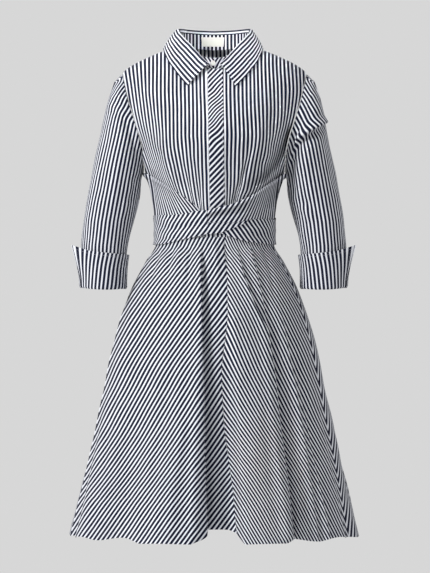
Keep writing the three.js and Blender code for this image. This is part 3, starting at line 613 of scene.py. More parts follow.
def bodiceBack():
    tucks = table("at swallow", [(16, 13), (30, 16)])
    angle, z = bodiceCells(True)
    angle = np.hstack([angle[:, ::-1], 360 - angle[:, 1:]])
    z = np.hstack([z[:, ::-1], z[:, 1:]])
    points = formPoint(angle, z)
    fromMiddle = 180 - angle
    closing = smooth((-190 - z) / 150)
    groove = np.zeros(z.shape)
    swallowed = np.zeros(z.shape)
    for at, swallow in zip(tucks["at"], tucks["swallow"]):
        for sign in (-1, 1):
            off = (fromMiddle - sign * at) * 1.7
            groove -= 4 * closing * np.exp(-(off / 3.2) ** 2)
            groove += 1.6 * closing * np.exp(-((off - sign * 9) / 7) ** 2)
            swallowed += sign * closing * swallow * smooth(sign * off / 4 + 0.5)
    calm = smooth((z - waistZ - 6) / 40)
    out = groove * calm + unevenness(points, 0.9) * calm * smooth((-10 - z) / 40)
    out = out + seamDip(points, ["left", "right"], 1.0)
    middle = z.shape[1] // 2
    arc = arcAcross(points)
    across = arc[:, middle:middle + 1] - arc + swallowed
    points = formOffset(angle, z, out)
    return addCloth("bodice_back", points, across, -z)


bodiceFront("left")
bodiceFront("right")
bodiceBack()
print("bodice done")


# Skirt

frontSeam = table("z at", [(-372, 10), (-534, 8), (-652, 4.2), (-748, 5), (-842, 7), (-967, 8.6)])
seamAngles = {"left": 73.5, "back": 180, "right": 268}
skirtSpread, skirtInner, grainLean, hemDepth = 17.9, 532, 38, 80
# How fast the stripes cross the cloth going down: they turn flatter below the hips
grainFall = table("down left right", [
    (0, 0.70, 0.56), (200, 0.57, 0.56), (320, 0.58, 0.58), (400, 0.70, 0.68), (470, 0.70, 0.78),
    (560, 0.63, 0.70), (650, 0.70, 0.74),
])
fallStops = np.linspace(0, 700, 141)
fallTotals = {side: np.cumsum(read(grainFall, "down", side, fallStops)) * 5 for side in ("left", "right")}

# Creases down the front of the skirt, as lines in the front view
skirtCreases = [
    crease(6, 7, [(201, 243), (201, 300), (200, 400), (200, 470), (200, 545)], kind="lip", start=0.08,
        end=0.02,
           widen=1.6, deepen=3.0),
    crease(4, 6, [(236, 243), (243, 275), (253, 303), (267, 332), (273, 385), (279, 440), (284, 490),
        (289, 545)],
           kind="lip", start=0.08, end=0.02, widen=1.5, deepen=3.4),
    crease(4, 6, [(249, 244), (257, 275), (266, 318), (270, 350)], kind="lip", start=0.08, end=0.5),
    crease(3, 7, [(276, 290), (286, 340), (295, 390), (303, 440), (311, 490), (318, 545)], kind="lip",
        end=0.02,
           widen=1.5, deepen=1.8),
    crease(3, 7, [(290, 340), (301, 400), (311, 450), (322, 500), (331, 545)], kind="lip", end=0.02,
        deepen=1.6),
    crease(-4, 10, [(229, 320), (229, 400), (230, 470), (233, 545)], end=0.02, start=0.4, widen=1.4),
    crease(-5, 12, [(177, 330), (163, 420), (152, 483), (141, 545)], end=0.02, start=0.3, widen=1.3),
    crease(4, 12, [(190, 400), (180, 440), (172, 490), (168, 545)], end=0.02, start=0.3),
    crease(-5, 9, [(122, 350), (108, 425), (100, 475), (88, 540)], end=0.02, start=0.4),
    crease(-3.5, 5, [(173, 247), (169, 262), (166, 285)], start=0.05, end=0.6),
    crease(3, 6, [(180, 246), (178, 262), (175, 290)], start=0.05, end=0.6),
    crease(-3.5, 4.5, [(190, 246), (189, 262), (185, 300)], start=0.05, end=0.6),
    crease(3, 6, [(215, 243), (217, 262), (218, 300)], start=0.05, end=0.6),
    crease(-3, 4.5, [(225, 240), (228, 256), (230, 290)], start=0.05, end=0.6),
    crease(-3.5, 4.5, [(262, 245), (270, 268), (277, 310)], start=0.05, end=0.6),
    crease(-3, 5, [(159, 250), (152, 270), (147, 290)], start=0.05, end=0.6),
]
hiddenCreases = table("at depth width begins", [
    (98, -4, 8, -500), (116, 4, 9, -420), (133, -4, 7, -390), (152, 3, 8, -386), (170, -4, 7, -386),
    (176, 3, 7, -500), (193, -4, 7, -386), (212, 4, 9, -400), (231, -4, 8, -388), (249, 3, 8, -430),
])


def backCreaseOut(angle, z):
    out = np.zeros(z.shape)
    for at, depth, width, begins in zip(*hiddenCreases.values()):
        off = angleApart(angle, at) * np.interp(-z, [372, 970], [1.9, 4.2])
        ridge = smooth((begins - z) / 130)
        gather = smooth((waistZ - 6 - z) / 20) * smooth((z + 520) / 100) * 0.7
        out += depth * (ridge + gather) * np.exp(-(off / width) ** 2)
    return out


def skirtQuarter(node, seamBefore, seamAfter, middleFirst, across=90, down=120):
    share = np.linspace(0, 1, across)
    fall = np.linspace(0, 1, down)[:, None] ** 1.08
    guess = mix(waistZ, hemZ, fall)
    gap = np.degrees(seamGap / 2 / read(formRows, "z", "half", guess))
    angle = mix(seamBefore(guess) + gap, seamAfter(guess) - gap, share)
    z = mix(waistZ, hemHeight(angle), fall)
    points = formPoint(angle, z)
    ahead = np.cos(np.radians(angle))
    front = smooth(ahead / 0.3)
    calm = smooth((waistZ - 4 - z) / 16)
    out = creaseOut(skirtCreases, *seen(points)) * front + backCreaseOut(angle, z) * (1 - front)
    out = (out + unevenness(points, 0.9)) * calm + seamDip(points, ["left", "right"], 1.0)
    arc, fallen = arcAcross(points), arcDown(points)
    fromHem = fallen[-1:] - fallen
    out -= 0.5 * np.exp(-((fromHem - hemDepth) / 2.2) ** 2) + 0.4 * smooth((fromHem - hemDepth) / 3)
    points = formOffset(angle, z, out)
    level = np.abs(points[..., 0] - points[:, :1, 0])
    share = mix(arc / arc[:, -1:], level / level[:, -1:], 0.9 if "front" in node else 0)
    lean = share * skirtSpread
    if not middleFirst:
        lean = skirtSpread - lean
    turn = np.radians(grainLean)
    flatX, flatY = [(skirtInner + fallen) * trig(np.radians(lean)) for trig in (np.sin, np.cos)]
    totals = fallTotals["left" if node.endswith("left") else "right"]
    acrossGrain = flatX * math.cos(turn) - np.interp(flatY - skirtInner, fallStops, totals)
    acrossGrain -= np.minimum(flatY - skirtInner, 0) * math.sin(turn)
    alongGrain = flatX * math.sin(turn) + flatY * math.cos(turn)
    return addCloth(node, points, acrossGrain, alongGrain)


def seamAt(angle):
    return lambda z: np.full(z.shape, float(angle))


def frontSeamAt(z):
    return read(frontSeam, "z", "at", z)


skirtQuarter("skirt_front_left", frontSeamAt, seamAt(seamAngles["left"]), True, across=200, down=130)
skirtQuarter("skirt_back_left", seamAt(seamAngles["left"]), seamAt(seamAngles["back"]), False)
skirtQuarter("skirt_back_right", seamAt(seamAngles["back"]), seamAt(seamAngles["right"]), True)
skirtQuarter("skirt_front_right", seamAt(seamAngles["right"] - 360), frontSeamAt, False, across=200,
    down=130)
print("skirt done")


# Collar, its stand and the placket

standHalfWidth, standBack, standSide = 72, 55, 4
collarEdges = {
    1: table("turn x z", [
        (9, 42, -76), (35, 66, -50), (60, 86, -22), (75, 92, -9), (90, 96, 2), (110, 94, 1),
        (130, 80, -5), (155, 44, -8), (180, 0, -9),
    ]),
    -1: table("turn x z", [
        (9, 54, -74), (35, 75, -48), (60, 92, -22), (75, 98, -8), (90, 100, 1), (110, 97, 0),
        (130, 80, -5), (155, 44, -8), (180, 0, -9),
    ]),
}
# Where the leaf's fold leaves the top of the stand: it runs straight down to the front
rollShift = table("turn rise out", [
    (9, -15, 4.5), (15, -9, 3.4), (30, 1.5, 1), (45, 6, 0), (60, 5, 0), (75, 0, 0), (180, 0, 0),
])
collarRoll = [(-2.7, -4.6), (-2.8, -2.6), (-2.8, -0.6), (-2.6, 1.2), (-2.0, 2.7), (-0.9, 3.8), (0.6, 4.4),
              (2.2, 4.1), (3.8, 3.0)]
collarLift, collarBulge, leafStripes = 3.2, 4.5, 62


# Turns past 180 are on the right of the dress
def neckSide(turn):
    return np.minimum(turn, 360 - turn), np.where(turn <= 180, 1.0, -1.0)


def standTop(turn):
    folded, sign = neckSide(turn)
    ahead = np.cos(np.radians(folded))
    front = read(neckRows, "turn", "standFront", folded)
    y = standSide - np.where(ahead > 0, front + standSide, standBack - standSide) * ahead
    x = sign * np.maximum(standHalfWidth * np.sin(np.radians(folded)), seamGap / 2)
    rise = np.maximum(read(rollShift, "turn", "rise", folded), 0)
    return np.stack([x, y, read(neckRows, "turn", "standZ", folded) + rise], axis=-1)


def neckSeam(turn):
    folded, sign = neckSide(turn)
    z = read(neckRows, "turn", "seamZ", folded)
    point = formPoint(angleAcross(neckHalf * np.sin(np.radians(folded)), z, folded > 90), z)
    x = sign * np.maximum(point[..., 0], seamGap / 2)
    return np.stack([x, point[..., 1], z], axis=-1)


def standPoint(turn, down):
    top, foot = standTop(turn), neckSeam(turn)
    foot = foot + unit(top - foot) * (seamGap + 0.3)
    return mix(top, foot, np.asarray(down)[..., None])


def outwardAt(turn):
    return np.stack([np.sin(np.radians(turn)), -np.cos(np.radians(turn)), 0 * turn], axis=-1)


def collarStand():
    turn, down = np.meshgrid(np.linspace(0, 360, 240), np.linspace(0, 1, 22))
    points = standPoint(turn, down)
    points[:, 0, 0], points[:, -1, 0] = seamGap / 2, -seamGap / 2
    points += outwardAt(turn) * seamDip(points, ["bottom"], 0.6, 1.6)[..., None]
    arc = arcAcross(points)
    across = arc - arc[:, 120:121]
    return addCloth("collar_stand", points, across, arcDown(points), wall=1.1)


def collarFall():
    turn = np.linspace(9, 351, 330)
    folded, sign = neckSide(turn)
    drop = np.minimum(read(rollShift, "turn", "rise", folded), 0)
    shift = outwardAt(turn) * read(rollShift, "turn", "out", folded)[:, None]
    shift[:, 2] += drop
    roll = [standTop(turn) + outwardAt(turn) * out + shift + np.array([0, 0, up]) for out, up in collarRoll]
    edgeX = np.where(sign > 0, *[read(collarEdges[s], "turn", "x", folded) for s in (1, -1)])
    edgeZ = np.where(sign > 0, *[read(collarEdges[s], "turn", "z", folded) for s in (1, -1)])
    edge = formOffset(angleAcross(edgeX, edgeZ, folded > 90), edgeZ, np.full(turn.shape,
        collarLift + cadWall))
    edge[:, 0] *= sign
    start = roll[-1]
    middle = mix(start, edge, 0.45) + outwardAt(turn) * collarBulge
    leaf = []
    for share in np.linspace(0, 1, 40)[1:]:
        leaf.append(start * (1 - share) ** 2 + middle * 2 * share * (1 - share) + edge * share ** 2)
    points = np.stack(roll + leaf)
    # The leaves ripple a little and their edges turn down
    normal = unit(np.cross(np.gradient(points, axis=0), np.gradient(points, axis=1)))
    down = arcDown(points)
    leafShare = smooth((down - 8) / 20)
    points = points + normal * (unevenness(points, 0.6) * leafShare)[..., None]
    past = down - down[6:7]
    across = np.where(past > 0, past / past[-1:] * leafStripes, past) - 1.2
    along = arcAcross(points)
    return addCloth("collar_fall", points, across, along, wall=1.1)


biasCounts = table("y count", [
    (40, -8), (60, -3.6), (76.7, 0), (101.1, 5), (117.9, 9), (134.3, 13), (145.8, 15), (170.1, 19),
    (199.2, 24), (230, 29.2),
])
placketShape = {"width": 32, "top": -40, "bottom": -326, "lean": 5}


def placketStrip():
    shape = placketShape
    down, share = np.meshgrid(np.linspace(0, 1, 150), np.linspace(0, 1, 30), indexing="ij")
    z = mix(shape["top"] + np.abs(share - 0.5) * 2, shape["bottom"], down)
    x = shape["lean"] * down + (share - 0.5) * shape["width"]
    angle = np.sign(x) * angleAcross(np.abs(x), z, False)
    # It lies flatter towards its edges and swells a little between the hidden buttons
    swell = 0.5 * np.sin(down * 2 * math.pi * 4.5) * np.cos((share - 0.5) * math.pi)
    edge = (share - 0.5) * 2
    out = layerOut(1) + swell - 1.1 * np.abs(edge) ** 10 + unevenness(formPoint(angle, z), 0.4)
    points = formOffset(angle, z, out)
    # Bias stripes, crowded where the strip is eased on above the bust
    height = 52 - z / 2 + 1.05 * (x / 2 + 214.5 - 212)
    wave = 1.1 * np.sin(z / 11 + x / 9) * smooth((-60 - z) / 30) * smooth((z + 215) / 40)
    cut = 4 + 8 * read(biasCounts, "y", "count", height) + wave
    # The outermost strip along the placket's left edge is plain white; the strip along the right edge keeps
    # its stripes
    outerEdgeBand = np.abs(edge) > 0.93
    cut = np.where(outerEdgeBand & (x < shape["lean"] * down), 0.25, cut)
    return addCloth("placket", points, cut, x + z, wall=1.0)


collarStand()
collarFall()
placketStrip()
print("collar and placket done")


# Waist wrap

wrapPieces = {
    "wrap_panel_left": table("at top bottom layer", [
        (-6, -318, -343, 3), (4, -312.5, -343.2, 3), (15, -306, -343, 3), (25, -297, -341.2, 2.8),
        (34, -288, -337.2, 2.2), (46, -272, -335, 1.4), (58, -257, -334.8, 1), (74, -243, -334.6, 1),
        (89.8, -240, -334.4, 1),
    ]),
    "wrap_panel_right": table("at top bottom layer", [
        (-89.8, -240, -331, 1), (-76, -242, -331, 1), (-62, -250, -331, 1), (-50, -262, -330, 1),
        (-38, -278, -330, 1), (-26, -296, -328, 1), (-14, -316, -325, 1),
    ]),
    "waist_wrap_over": table("at top bottom layer", [
        (-89.8, -327, -386, 2), (-75, -327, -386, 2), (-60, -327, -386, 2), (-45, -327, -382, 2),
        (-30, -326, -376, 2.1), (-20, -322, -372, 2.6), (-13, -319, -369, 2.9), (-6.7, -318.5, -366, 3),
        (-6.1, -343.6, -366, 3), (4, -343.8, -363.5, 3), (15, -343.6, -356, 3), (25, -341.8, -347.5, 3),
        (32, -339.6, -342.2, 3),
    ]),
    "waist_wrap_under": table("at top bottom layer", [
        (-7, -358, -363.4, 2), (3, -354.5, -363.6, 2), (15, -350, -371, 2), (26, -343.5, -378, 2),
        (34, -338.4, -381.5, 2), (46, -335.6, -384, 2), (60, -335.4, -386, 2), (75, -335.2, -386, 2),
        (89.8, -335, -386, 2),
    ]),
    "waist_wrap_back": table("at top bottom layer", [
        (90.2, -331, -386, 2), (105, -331, -386, 1.7), (120, -331, -386, 1.2), (135, -331, -386, 1),
        (150, -331, -385, 1), (165, -331, -385, 1), (180, -331, -385, 1), (195, -331, -385, 1),
        (210, -331, -385, 1), (225, -331, -386, 1), (240, -331, -386, 1.2), (255, -331, -386, 1.7),
        (269.8, -331, -386, 2),
    ]),
}
panelHeights = [160, 176, 190, 200, 212, 224]
panelLines = {
    "wrap_panel_left": {
        "cloth": [193, 209, 225, 241, 257, 273, 289, 305, 321, 337],
        "lines": [
            [252, 242, 232.5, 225.4, 216.7, 208], [259, 250, 241.5, 234.8, 226.5, 217.8],
            [265, 257, 249.5, 243.5, 236, 227.6], [268, 262, 256, 251, 244.8, 237.4],
            [269, 265, 260, 256.3, 251, 245], [271, 268, 263.5, 260.5, 256.3, 251.5],
            [273, 270.5, 267, 264.5, 261, 257.5], [275, 273, 270, 268, 265.5, 263],
            [277, 275.5, 273, 271.5, 270, 268], [279, 278, 276, 275, 274, 273],
        ],
    },
    "wrap_panel_right": {
        "cloth": [0, -16, -32, -48, -64, -80, -96, -112, -128],
        "lines": [
            [160, 173.5, 185.5, 194, 204.3, 214], [157, 169, 179.5, 187, 196.7, 206],
            [155, 165.5, 174, 180.5, 189, 197], [153, 163, 170, 175, 181.5, 188],
            [151, 160.5, 166.5, 170.5, 175.5, 180], [149, 158, 163, 166.3, 170.3, 174],
            [148, 155.5, 159.3, 162, 165, 168], [147, 153, 156, 158, 160.5, 162],
            [146, 151, 153.8, 155, 156.5, 157],
        ],
    },
}
wrapRoll = {"wrap_panel_left": 8, "wrap_panel_right": 4}
wrapCreases = [
    crease(1.6, 5, [(155, 219), (175, 222), (195, 219), (215, 214)]),
    crease(-1.3, 5, [(155, 226), (175, 229), (200, 226)]),
    crease(1.8, 5, [(157, 236), (180, 236), (205, 230), (225, 225)]),
    crease(-1.5, 5, [(215, 217), (235, 212), (255, 205), (268, 195)]),
    crease(1.6, 6, [(232, 219), (250, 212), (266, 204)]),
    crease(1.6, 5, [(240, 231), (255, 229), (272, 230)]),
    crease(-1.4, 5, [(248, 236), (262, 236), (275, 238)]),
]


def wrapPiece(name, grainAngle, down=34):
    rows = wrapPieces[name]
    at = rows["at"]
    stops = np.unique(np.concatenate([np.linspace(at[0], at[-1], int((at[-1] - at[0]) * 1.7)), at]))
    angle = np.broadcast_to(stops, (down, len(stops)))
    share = np.linspace(0, 1, down)[:, None]
    z = mix(read(rows, "at", "top", angle), read(rows, "at", "bottom", angle), share)
    points = formPoint(angle, z)
    height = read(rows, "at", "top", angle) - read(rows, "at", "bottom", angle)
    inside = smooth(share * height / 5) * smooth((1 - share) * height / 5)
    front = smooth(np.cos(np.radians(angle)) / 0.25)
    pleats = np.sin(z / 4.6 + np.radians(angle) * 2.5) * 0.5 * (1 - front) if "back" in name else 0
    out = layerOut(read(rows, "at", "layer", angle)) + inside * (
        creaseOut(wrapCreases, *seen(points)) * front + unevenness(points, 0.7) + pleats)
    if "panel" in name:
        # The drape's upper edge is a soft roll that overhangs the cloth beneath
        out = out + wrapRoll[name] * np.exp(-((share * height - 5) / 6) ** 2) * smooth(height / 30)
    hollow = drapeHollow(name.split("_")[-1], points, angle, z) if "panel" in name else 0
    points = formOffset(angle, z, out)
    points[..., 1] -= hollow
    if name in panelLines:
        lines = panelLines[name]
        across = followLines(panelHeights, lines["cloth"], lines["lines"], *seen(points))
        along = -z
    else:
        arc = arcAcross(points * (1, 1, 0))
        middle = np.argmin(np.abs(stops - (180 if "back" in name else 0)))
        arc = arc - arc[:, middle:middle + 1]
        turn = math.radians(grainAngle)
        across = arc * math.sin(turn) - z * math.cos(turn)
        along = arc * math.cos(turn) + z * math.sin(turn)
    return addCloth(name, points, across, along)


wrapPiece("wrap_panel_left", 60)
wrapPiece("wrap_panel_right", 120)
wrapPiece("waist_wrap_over", 54)
wrapPiece("waist_wrap_under", 127)
wrapPiece("waist_wrap_back", 90)
print("wrap done")


# Sleeves and cuffs

sleeveRings = table("i outX outZ inX inZ deep y", [
    (0, 200, -60, 143.5, -246, 50, 1), (1, 212, -94, 146, -257, 55, 1), (2, 220, -128, 147, -268, 56, 1),
    (3, 228, -165, 148, -280, 55, 0), (4, 237, -204, 150.5, -296, 53, 0), (5, 246, -248, 155, -316, 51, -1),
    (6, 255, -294, 162, -342, 49, -3), (7, 263, -340, 169, -368, 47, -6), (8, 268, -388, 175, -400, 46, -9),
    (9, 269, -430, 178, -436, 45, -12), (10, 269, -472, 177, -474, 44, -14),
])
sleeveInner = [(-474, -400, -342, -280, -60), (177, 175, 162, 148, 112)]
sleeveSides = {
    "left": {
        "sign": 1, "lean": -5,
        "foldLine": fromPixels([(340, 113), (326, 123), (309.7, 132), (297, 143.5), (285, 166.7), (280,
            180)]),
        "creases": [
            crease(11, 9, [(338, 118), (326, 122), (309.7, 131), (297, 142), (290, 155), (284, 168)],
                   kind="lip", start=0.3, end=0.6),
            crease(-5, 7, [(293, 158), (291, 175), (294, 200)], start=0.1),
            crease(-3, 6, [(304, 196), (311, 206), (318, 214), (324, 224)], end=0.4),
            crease(2.5, 7, [(300, 204), (307, 213), (313, 224)], end=0.4),
            crease(-2.5, 7, [(322, 128), (331, 160), (338, 196)]),
            crease(2.0, 8, [(303, 146), (308, 175), (314, 205)]),
            crease(-2.2, 6, [(296, 168), (301, 190), (307, 214)]),
            crease(2.2, 8, [(310, 90), (316, 104), (322, 116)]),
            crease(-2.0, 6, [(305, 100), (309, 112), (313, 124)]),
        ],
    },
    "right": {
        "sign": -1, "lean": -1,
        "foldLine": fromPixels([(84, 100), (96, 103), (108.5, 107), (122, 116), (135, 125), (139, 150),
            (141, 175)]),
        "creases": [
            crease(-2.2, 6, [(104, 108), (116, 112), (126, 122), (133, 134)]),
            crease(2.0, 8, [(114, 92), (112, 102), (107, 114)]),
            crease(-2.4, 6, [(133, 128), (136, 142), (138, 158)], start=0.1),
            crease(2.6, 6, [(140, 132), (142, 148), (143, 166)], start=0.1),
            crease(-2.2, 6, [(146, 138), (146, 155), (145, 172)], start=0.1),
            crease(-2.0, 8, [(110, 125), (103, 165), (97, 205)]),
            crease(1.8, 8, [(124, 130), (118, 170), (112, 215)]),
            crease(-2.4, 6, [(139, 172), (134, 190), (127, 205)]),
            crease(2.2, 6, [(133, 180), (128, 200), (122, 220)]),
        ],
    },
}
cuffShape = {
    "from": 8.15, "to": 9.97, "slitAt": 24, "slitHalf": 3, "footLift": 0.9, "topLift": 4,
    "cornerFlare": 17, "cornerRise": 7, "cornerSpread": 40, "footSag": 3.5, "stripeLean": 9,
}


# Turn 0 is the outer edge of the sleeve, 90 its front and 180 the underarm
def sleevePoint(turn, ring):
    row = {name: read(sleeveRings, "i", name, ring) for name in sleeveRings}
    outward = np.cos(np.radians(turn))
    x = mix(row["inX"], row["outX"], (1 + outward) / 2)
    z = mix(row["inZ"], row["outZ"], (1 + outward) / 2)
    return np.stack([x, row["y"] - row["deep"] * np.sin(np.radians(turn)), z], axis=-1)


def sleeveNormal(turn, ring):
    around = sleevePoint(turn + 1, ring) - sleevePoint(turn - 1, ring)
    ring = np.clip(ring, 0.1, 9.9)
    down = sleevePoint(turn, ring + 0.1) - sleevePoint(turn, ring - 0.1)
    return unit(np.cross(around, down))


def armholePoint(turn):
    folded = np.where(turn <= 180, turn, 360 - turn)
    z = mix(shoulderZ, underarmZ, (1 - np.cos(np.radians(folded))) / 2)
    return formPoint(angleAcross(outerEdgeX(z), z, turn > 180), z)


def mirrorSide(side, *grids):
    if side["sign"] > 0:
        return grids
    return tuple(grid[:, ::-1] * ((-1, 1, 1) if grid.ndim == 3 else 1) for grid in grids)


def sleevePiece(name):
    side = sleeveSides[name]
    turn = np.linspace(360, 0, 121)
    ring = np.concatenate([np.linspace(-1, 0, 12)[:-1], np.linspace(0, 10, 130)])
    turn, ring = np.meshgrid(turn, ring)
    seam = armholePoint(turn % 360)
    first = sleevePoint(turn, np.zeros(turn.shape))
    seam = seam + unit(first - seam) * seamGap * 2
    points = np.where(ring[..., None] < 0, mix(seam, first, 1 + ring[..., None]), sleevePoint(turn, ring))
    # Stripes run down the sleeve's outer edge and go round it as round a tube
    outerX = np.interp(points[..., 2], sleeveRings["outZ"][::-1], sleeveRings["outX"][::-1])
    innerX = np.interp(points[..., 2], *sleeveInner)
    middleX, half = (outerX + innerX) / 2, (outerX - innerX) / 2
    round = np.arccos(np.clip((points[..., 0] - middleX) / half, -1, 1))
    fromOuter = round * (half + sleeveRings["deep"][5]) / 2 * np.where(turn > 180, -1, 1)
    points[..., 0] += side["lean"] * np.clip(ring + 1, 0, 11) / 11
    normal = np.cross(np.gradient(points, axis=0), np.roll(points, -1, axis=1) - np.roll(points, 1, axis=1))
    normal = unit(normal)
    normal[:, 0] = normal[:, -1] = unit(normal[:, 1] + normal[:, -2])
    facing = np.sin(np.radians(turn))
    front = smooth(facing / 0.35)
    back = smooth(-facing / 0.35)
    x, z = seen(points)
    x = x * side["sign"]
    calm = smooth((ring + 0.8) / 1.0) * smooth((10.2 - ring) / 1.2)
    out = creaseOut(side["creases"], x, z) * (front + 0.7 * back)
    out = (out + unevenness(points * (side["sign"], 1, 1), 0.9)) * calm + seamDip(points, ["top"], 1.0)
    far, _ = lineField(side["foldLine"], x, z)
    above = np.maximum(-far if side["sign"] > 0 else far, 0)
    cap = 0.30 * above * (front + back)
    wave = 0.8 * np.sin(x / 13 + z / 9) * smooth(above / 20)
    across = fromOuter - np.sign(facing) * cap + wave
    points = points + normal * out[..., None]
    points, across, along = mirrorSide(side, points, across, arcDown(points))
    return addCloth(f"sleeve_{name}", points, across * side["sign"], along, closed=True)


def cuffPiece(name):
    side, shape = sleeveSides[name], cuffShape
    first = shape["slitAt"] + shape["slitHalf"]
    last = shape["slitAt"] - shape["slitHalf"] + 360
    up, turn = np.meshgrid(np.linspace(1, 0, 44), np.linspace(last, first, 170), indexing="ij")
    ring = mix(shape["to"], shape["from"], up)
    toSlit = np.minimum(turn - first, last - turn) / shape["cornerSpread"]
    corner = np.where(toSlit < 1, (1 - toSlit) ** 2 * up ** 1.5, 0)
    lift = mix(shape["footLift"], shape["topLift"], up) + shape["cornerFlare"] * corner
    foot = -1.6 * np.exp(-((1 - up) * 0 + up * 88 / 2.2) ** 2)
    points = sleevePoint(turn, ring)
    wavy = unevenness(points * (side["sign"], 1, 1), 0.7) * smooth((1 - corner) * 1.0) * smooth(up * 6)
    points = points + sleeveNormal(turn, ring) * (cadWall + lift + wavy * 0.6 + foot)[..., None]
    points[..., 2] += shape["cornerRise"] * corner
    points[..., 0] += side["lean"] * (ring + 1) / 11
    points[..., 2] -= shape["footSag"] * np.sin(np.radians(turn)) ** 2 * (turn < 180) * (1 - up * 0.5)
    arc = np.broadcast_to(arcAcross(points)[-6:].mean(axis=0), turn.shape)
    arc = arc - shape["stripeLean"] * np.sin(np.radians(turn)) * (1 - up)
    points, across, along = mirrorSide(side, points, arc, arcDown(points))
    return addCloth(f"cuff_{name}", points, across, along, wall=1.1)


for name in sleeveSides:
    sleevePiece(name)
    cuffPiece(name)
print("sleeves done")


# Label and button

labelShape = {"left": 21, "right": -28.4, "top": 33.2, "bottom": 14, "slack": 0.7, "wall": 0.35}


# A bare ribbon sewn on at its two ends
def labelRibbon():
    shape = labelShape
    x, z = np.meshgrid(np.linspace(shape["right"], shape["left"], 40), np.linspace(shape["top"],
        shape["bottom"], 16))
    turn = 180 - np.degrees(np.arcsin(x / standHalfWidth))
    top, foot = standTop(turn), neckSeam(turn)
    down = (top[..., 2] - z) / (top[..., 2] - foot[..., 2])
    middle = np.cos((x - (shape["left"] + shape["right"]) / 2) / (shape["left"] - shape["right"]) * math.pi)
    inward = 1.5 + shape["slack"] * np.maximum(middle, 0) + 0.15 * np.sin(x / 4 + z / 6)
    points = standPoint(turn, down) - outwardAt(turn) * inward[..., None]
    ribbon = gridMesh("neck_label_ribbon", points[:, ::-1], x[:, ::-1], z[:, ::-1])
    ribbon.data.materials.append(labelSatin)
    thickness = ribbon.modifiers.new("ribbon", "SOLIDIFY")
    thickness.thickness = shape["wall"] * mm
    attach(ribbon, "root")
    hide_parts("neck_label")


labelRibbon()
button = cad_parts["stand_button"]
button.data.materials.clear()
button.data.materials.append(buttonResin)
print("label and button done")


# Stitches

stitchLook = {"Spacing": 2.5 * mm, "Size": (0.95 * mm, 0.2 * mm, 0.14 * mm), "Material": threadCotton}


# Short threads laid end to end along edges of a mesh
def stitchNodes():
    tree = bpy.data.node_groups.new("stitches", "GeometryNodeTree")
    for name, kind in (("Geometry", "Geometry"), ("Spacing", "Float"), ("Size", "Vector"), ("Material",
        "Material")):
        tree.interface.new_socket(name, in_out="INPUT", socket_type="NodeSocket" + kind)
    tree.interface.new_socket("Geometry", in_out="OUTPUT", socket_type="NodeSocketGeometry")
    nodes, links = tree.nodes, tree.links
    given, result = nodes.new("NodeGroupInput"), nodes.new("NodeGroupOutput")
    curve = nodes.new("GeometryNodeMeshToCurve")
    steps = nodes.new("GeometryNodeResampleCurve")
    steps.mode = "LENGTH"
    thread = nodes.new("GeometryNodeMeshUVSphere")
    thread.inputs["Segments"].default_value = 6
    thread.inputs["Rings"].default_value = 5
    thread.inputs["Radius"].default_value = 1
    tangent = nodes.new("GeometryNodeInputTangent")
    turned = nodes.new("FunctionNodeAlignRotationToVector")
    turned.axis = "X"
    placed = nodes.new("GeometryNodeInstanceOnPoints")
    realized = nodes.new("GeometryNodeRealizeInstances")
    dyed = nodes.new("GeometryNodeSetMaterial")
    links.new(given.outputs["Geometry"], curve.inputs["Mesh"])
    links.new(curve.outputs[0], steps.inputs["Curve"])
    links.new(given.outputs["Spacing"], steps.inputs["Length"])
    links.new(steps.outputs[0], placed.inputs["Points"])
    links.new(thread.outputs["Mesh"], placed.inputs["Instance"])
    links.new(tangent.outputs[0], turned.inputs["Vector"])
    links.new(turned.outputs[0], placed.inputs["Rotation"])
    links.new(given.outputs["Size"], placed.inputs["Scale"])
    links.new(placed.outputs[0], realized.inputs[0])
    links.new(realized.outputs[0], dyed.inputs["Geometry"])
    links.new(given.outputs["Material"], dyed.inputs["Material"])
    links.new(dyed.outputs[0], result.inputs[0])
    return tree


stitches = stitchNodes()


# The line on a cloth that runs a margin inside one of its edges, from one end margin to the other
def edgePath(node, side, margin, ends):
    grid = surfaces[node]
    normal = unit(np.cross(np.gradient(grid, axis=0), np.gradient(grid, axis=1)))
    grid = grid + normal * 0.12
    if side in ("left", "right"):
        grid = grid.transpose(1, 0, 2)
    if side in ("bottom", "right"):
        grid = grid[::-1]
    inward = arcDown(grid)
    path = np.stack([[np.interp(margin, inward[:, c], grid[:, c,
        k]) for k in range(3)] for c in range(grid.shape[1])])
    walked = np.concatenate(([0], np.cumsum(np.linalg.norm(np.diff(path, axis=0), axis=1))))
    return path[(walked >= ends[0]) & (walked <= walked[-1] - ends[1])]


def stitchLine(name, paths):
    mesh = bpy.data.meshes.new(name)
    edges, first = [], 0
    for path in paths:
        edges += [(first + i, first + i + 1) for i in range(len(path) - 1)]
        first += len(path)
    mesh.from_pydata((np.concatenate(paths) * mm).tolist(), edges, [])
    piece = bpy.data.objects.new(name, mesh)
    bpy.context.scene.collection.objects.link(piece)
    maker = piece.modifiers.new("stitches", "NODES")
    maker.node_group = stitches
    for item in stitches.interface.items_tree:
        if item.in_out == "INPUT" and item.name in stitchLook:
            maker[item.identifier] = stitchLook[item.name]
    made = bpy.data.meshes.new_from_object(piece.evaluated_get(bpy.context.evaluated_depsgraph_get()))
    piece.modifiers.clear()
    piece.data = made
    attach(piece, "root")
    print(f"{name}: {len(made.polygons)} faces")


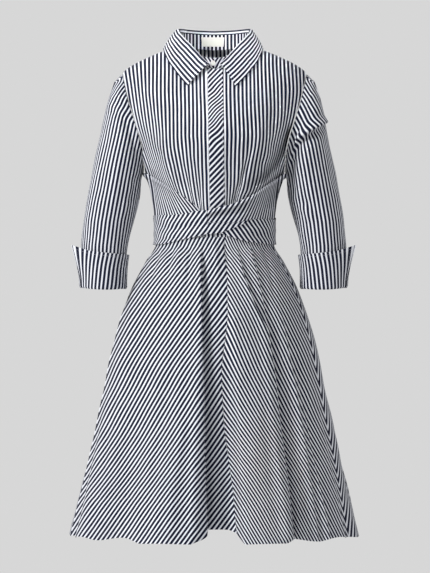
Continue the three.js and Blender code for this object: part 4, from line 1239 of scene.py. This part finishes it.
stitchLine("collar_stitches", [
    edgePath("collar_fall", "bottom", 5, (5, 5)),
    edgePath("collar_fall", "left", 5, (16, 5)),
    edgePath("collar_fall", "right", 5, (16, 5)),
])
stitchLine("placket_stitches", [edgePath("placket", side, 3.2, (2, 3)) for side in ("left", "right")])
for name in sleeveSides:
    stitchLine(f"cuff_{name}_stitches", [edgePath(f"cuff_{name}", side, 6, (6, 6)) for side in ("top",
        "left", "right")])
print("stitches done")


# Floor, light and camera

studio = {
    "grey": (0.68, 0.68, 0.68, 1), "world": 1.0,
    "camera": (0.001, -cameraFar * mm, cameraHeight * mm), "lens": 188.5, "floorZ": -1.3,
        "floorRadius": 2.2,
}
bpy.ops.mesh.primitive_circle_add(vertices=96, radius=studio["floorRadius"], fill_type="NGON",
                                  location=(0, 0, studio["floorZ"]))
floor = bpy.context.object
floor.name = "studio_floor"
floor.data.materials.append(plainMaterial("studio floor", (0.68, 0.68, 0.68), 0.9))

world = bpy.data.worlds.new("studio")
bpy.context.scene.world = world
world.use_nodes = True
world.node_tree.nodes["Background"].inputs["Color"].default_value = studio["grey"]
world.node_tree.nodes["Background"].inputs["Strength"].default_value = studio["world"]


def areaLight(name, place, aim, size, power, spread=180):
    light = bpy.data.lights.new(name, "AREA")
    light.shape = "DISK"
    light.size = size
    light.energy = power
    light.spread = math.radians(spread)
    lamp = bpy.data.objects.new(name, light)
    lamp.location = place
    lamp.rotation_euler = (Vector(aim) - Vector(place)).to_track_quat("-Z", "Y").to_euler()
    bpy.context.scene.collection.objects.link(lamp)


areaLight("key", (-3.0, -2.3, 1.1), (0, 0, -0.45), 0.9, 165)
areaLight("fill", (2.4, -3.0, 0.2), (0, 0, -0.5), 2.0, 14)
areaLight("collar light", (0, -1.5, 1.5), (0, 0.05, -0.01), 0.3, 0.3, spread=12)

lens = bpy.data.cameras.new("photo camera")
lens.lens = studio["lens"]
lens.sensor_width = 36
camera = bpy.data.objects.new("photo camera", lens)
camera.location = studio["camera"]
camera.rotation_euler = (math.radians(90), 0, 0)
bpy.context.scene.collection.objects.link(camera)
bpy.context.scene.camera = camera
bpy.context.scene.view_settings.view_transform = "Standard"
bpy.context.scene.view_settings.look = "None"
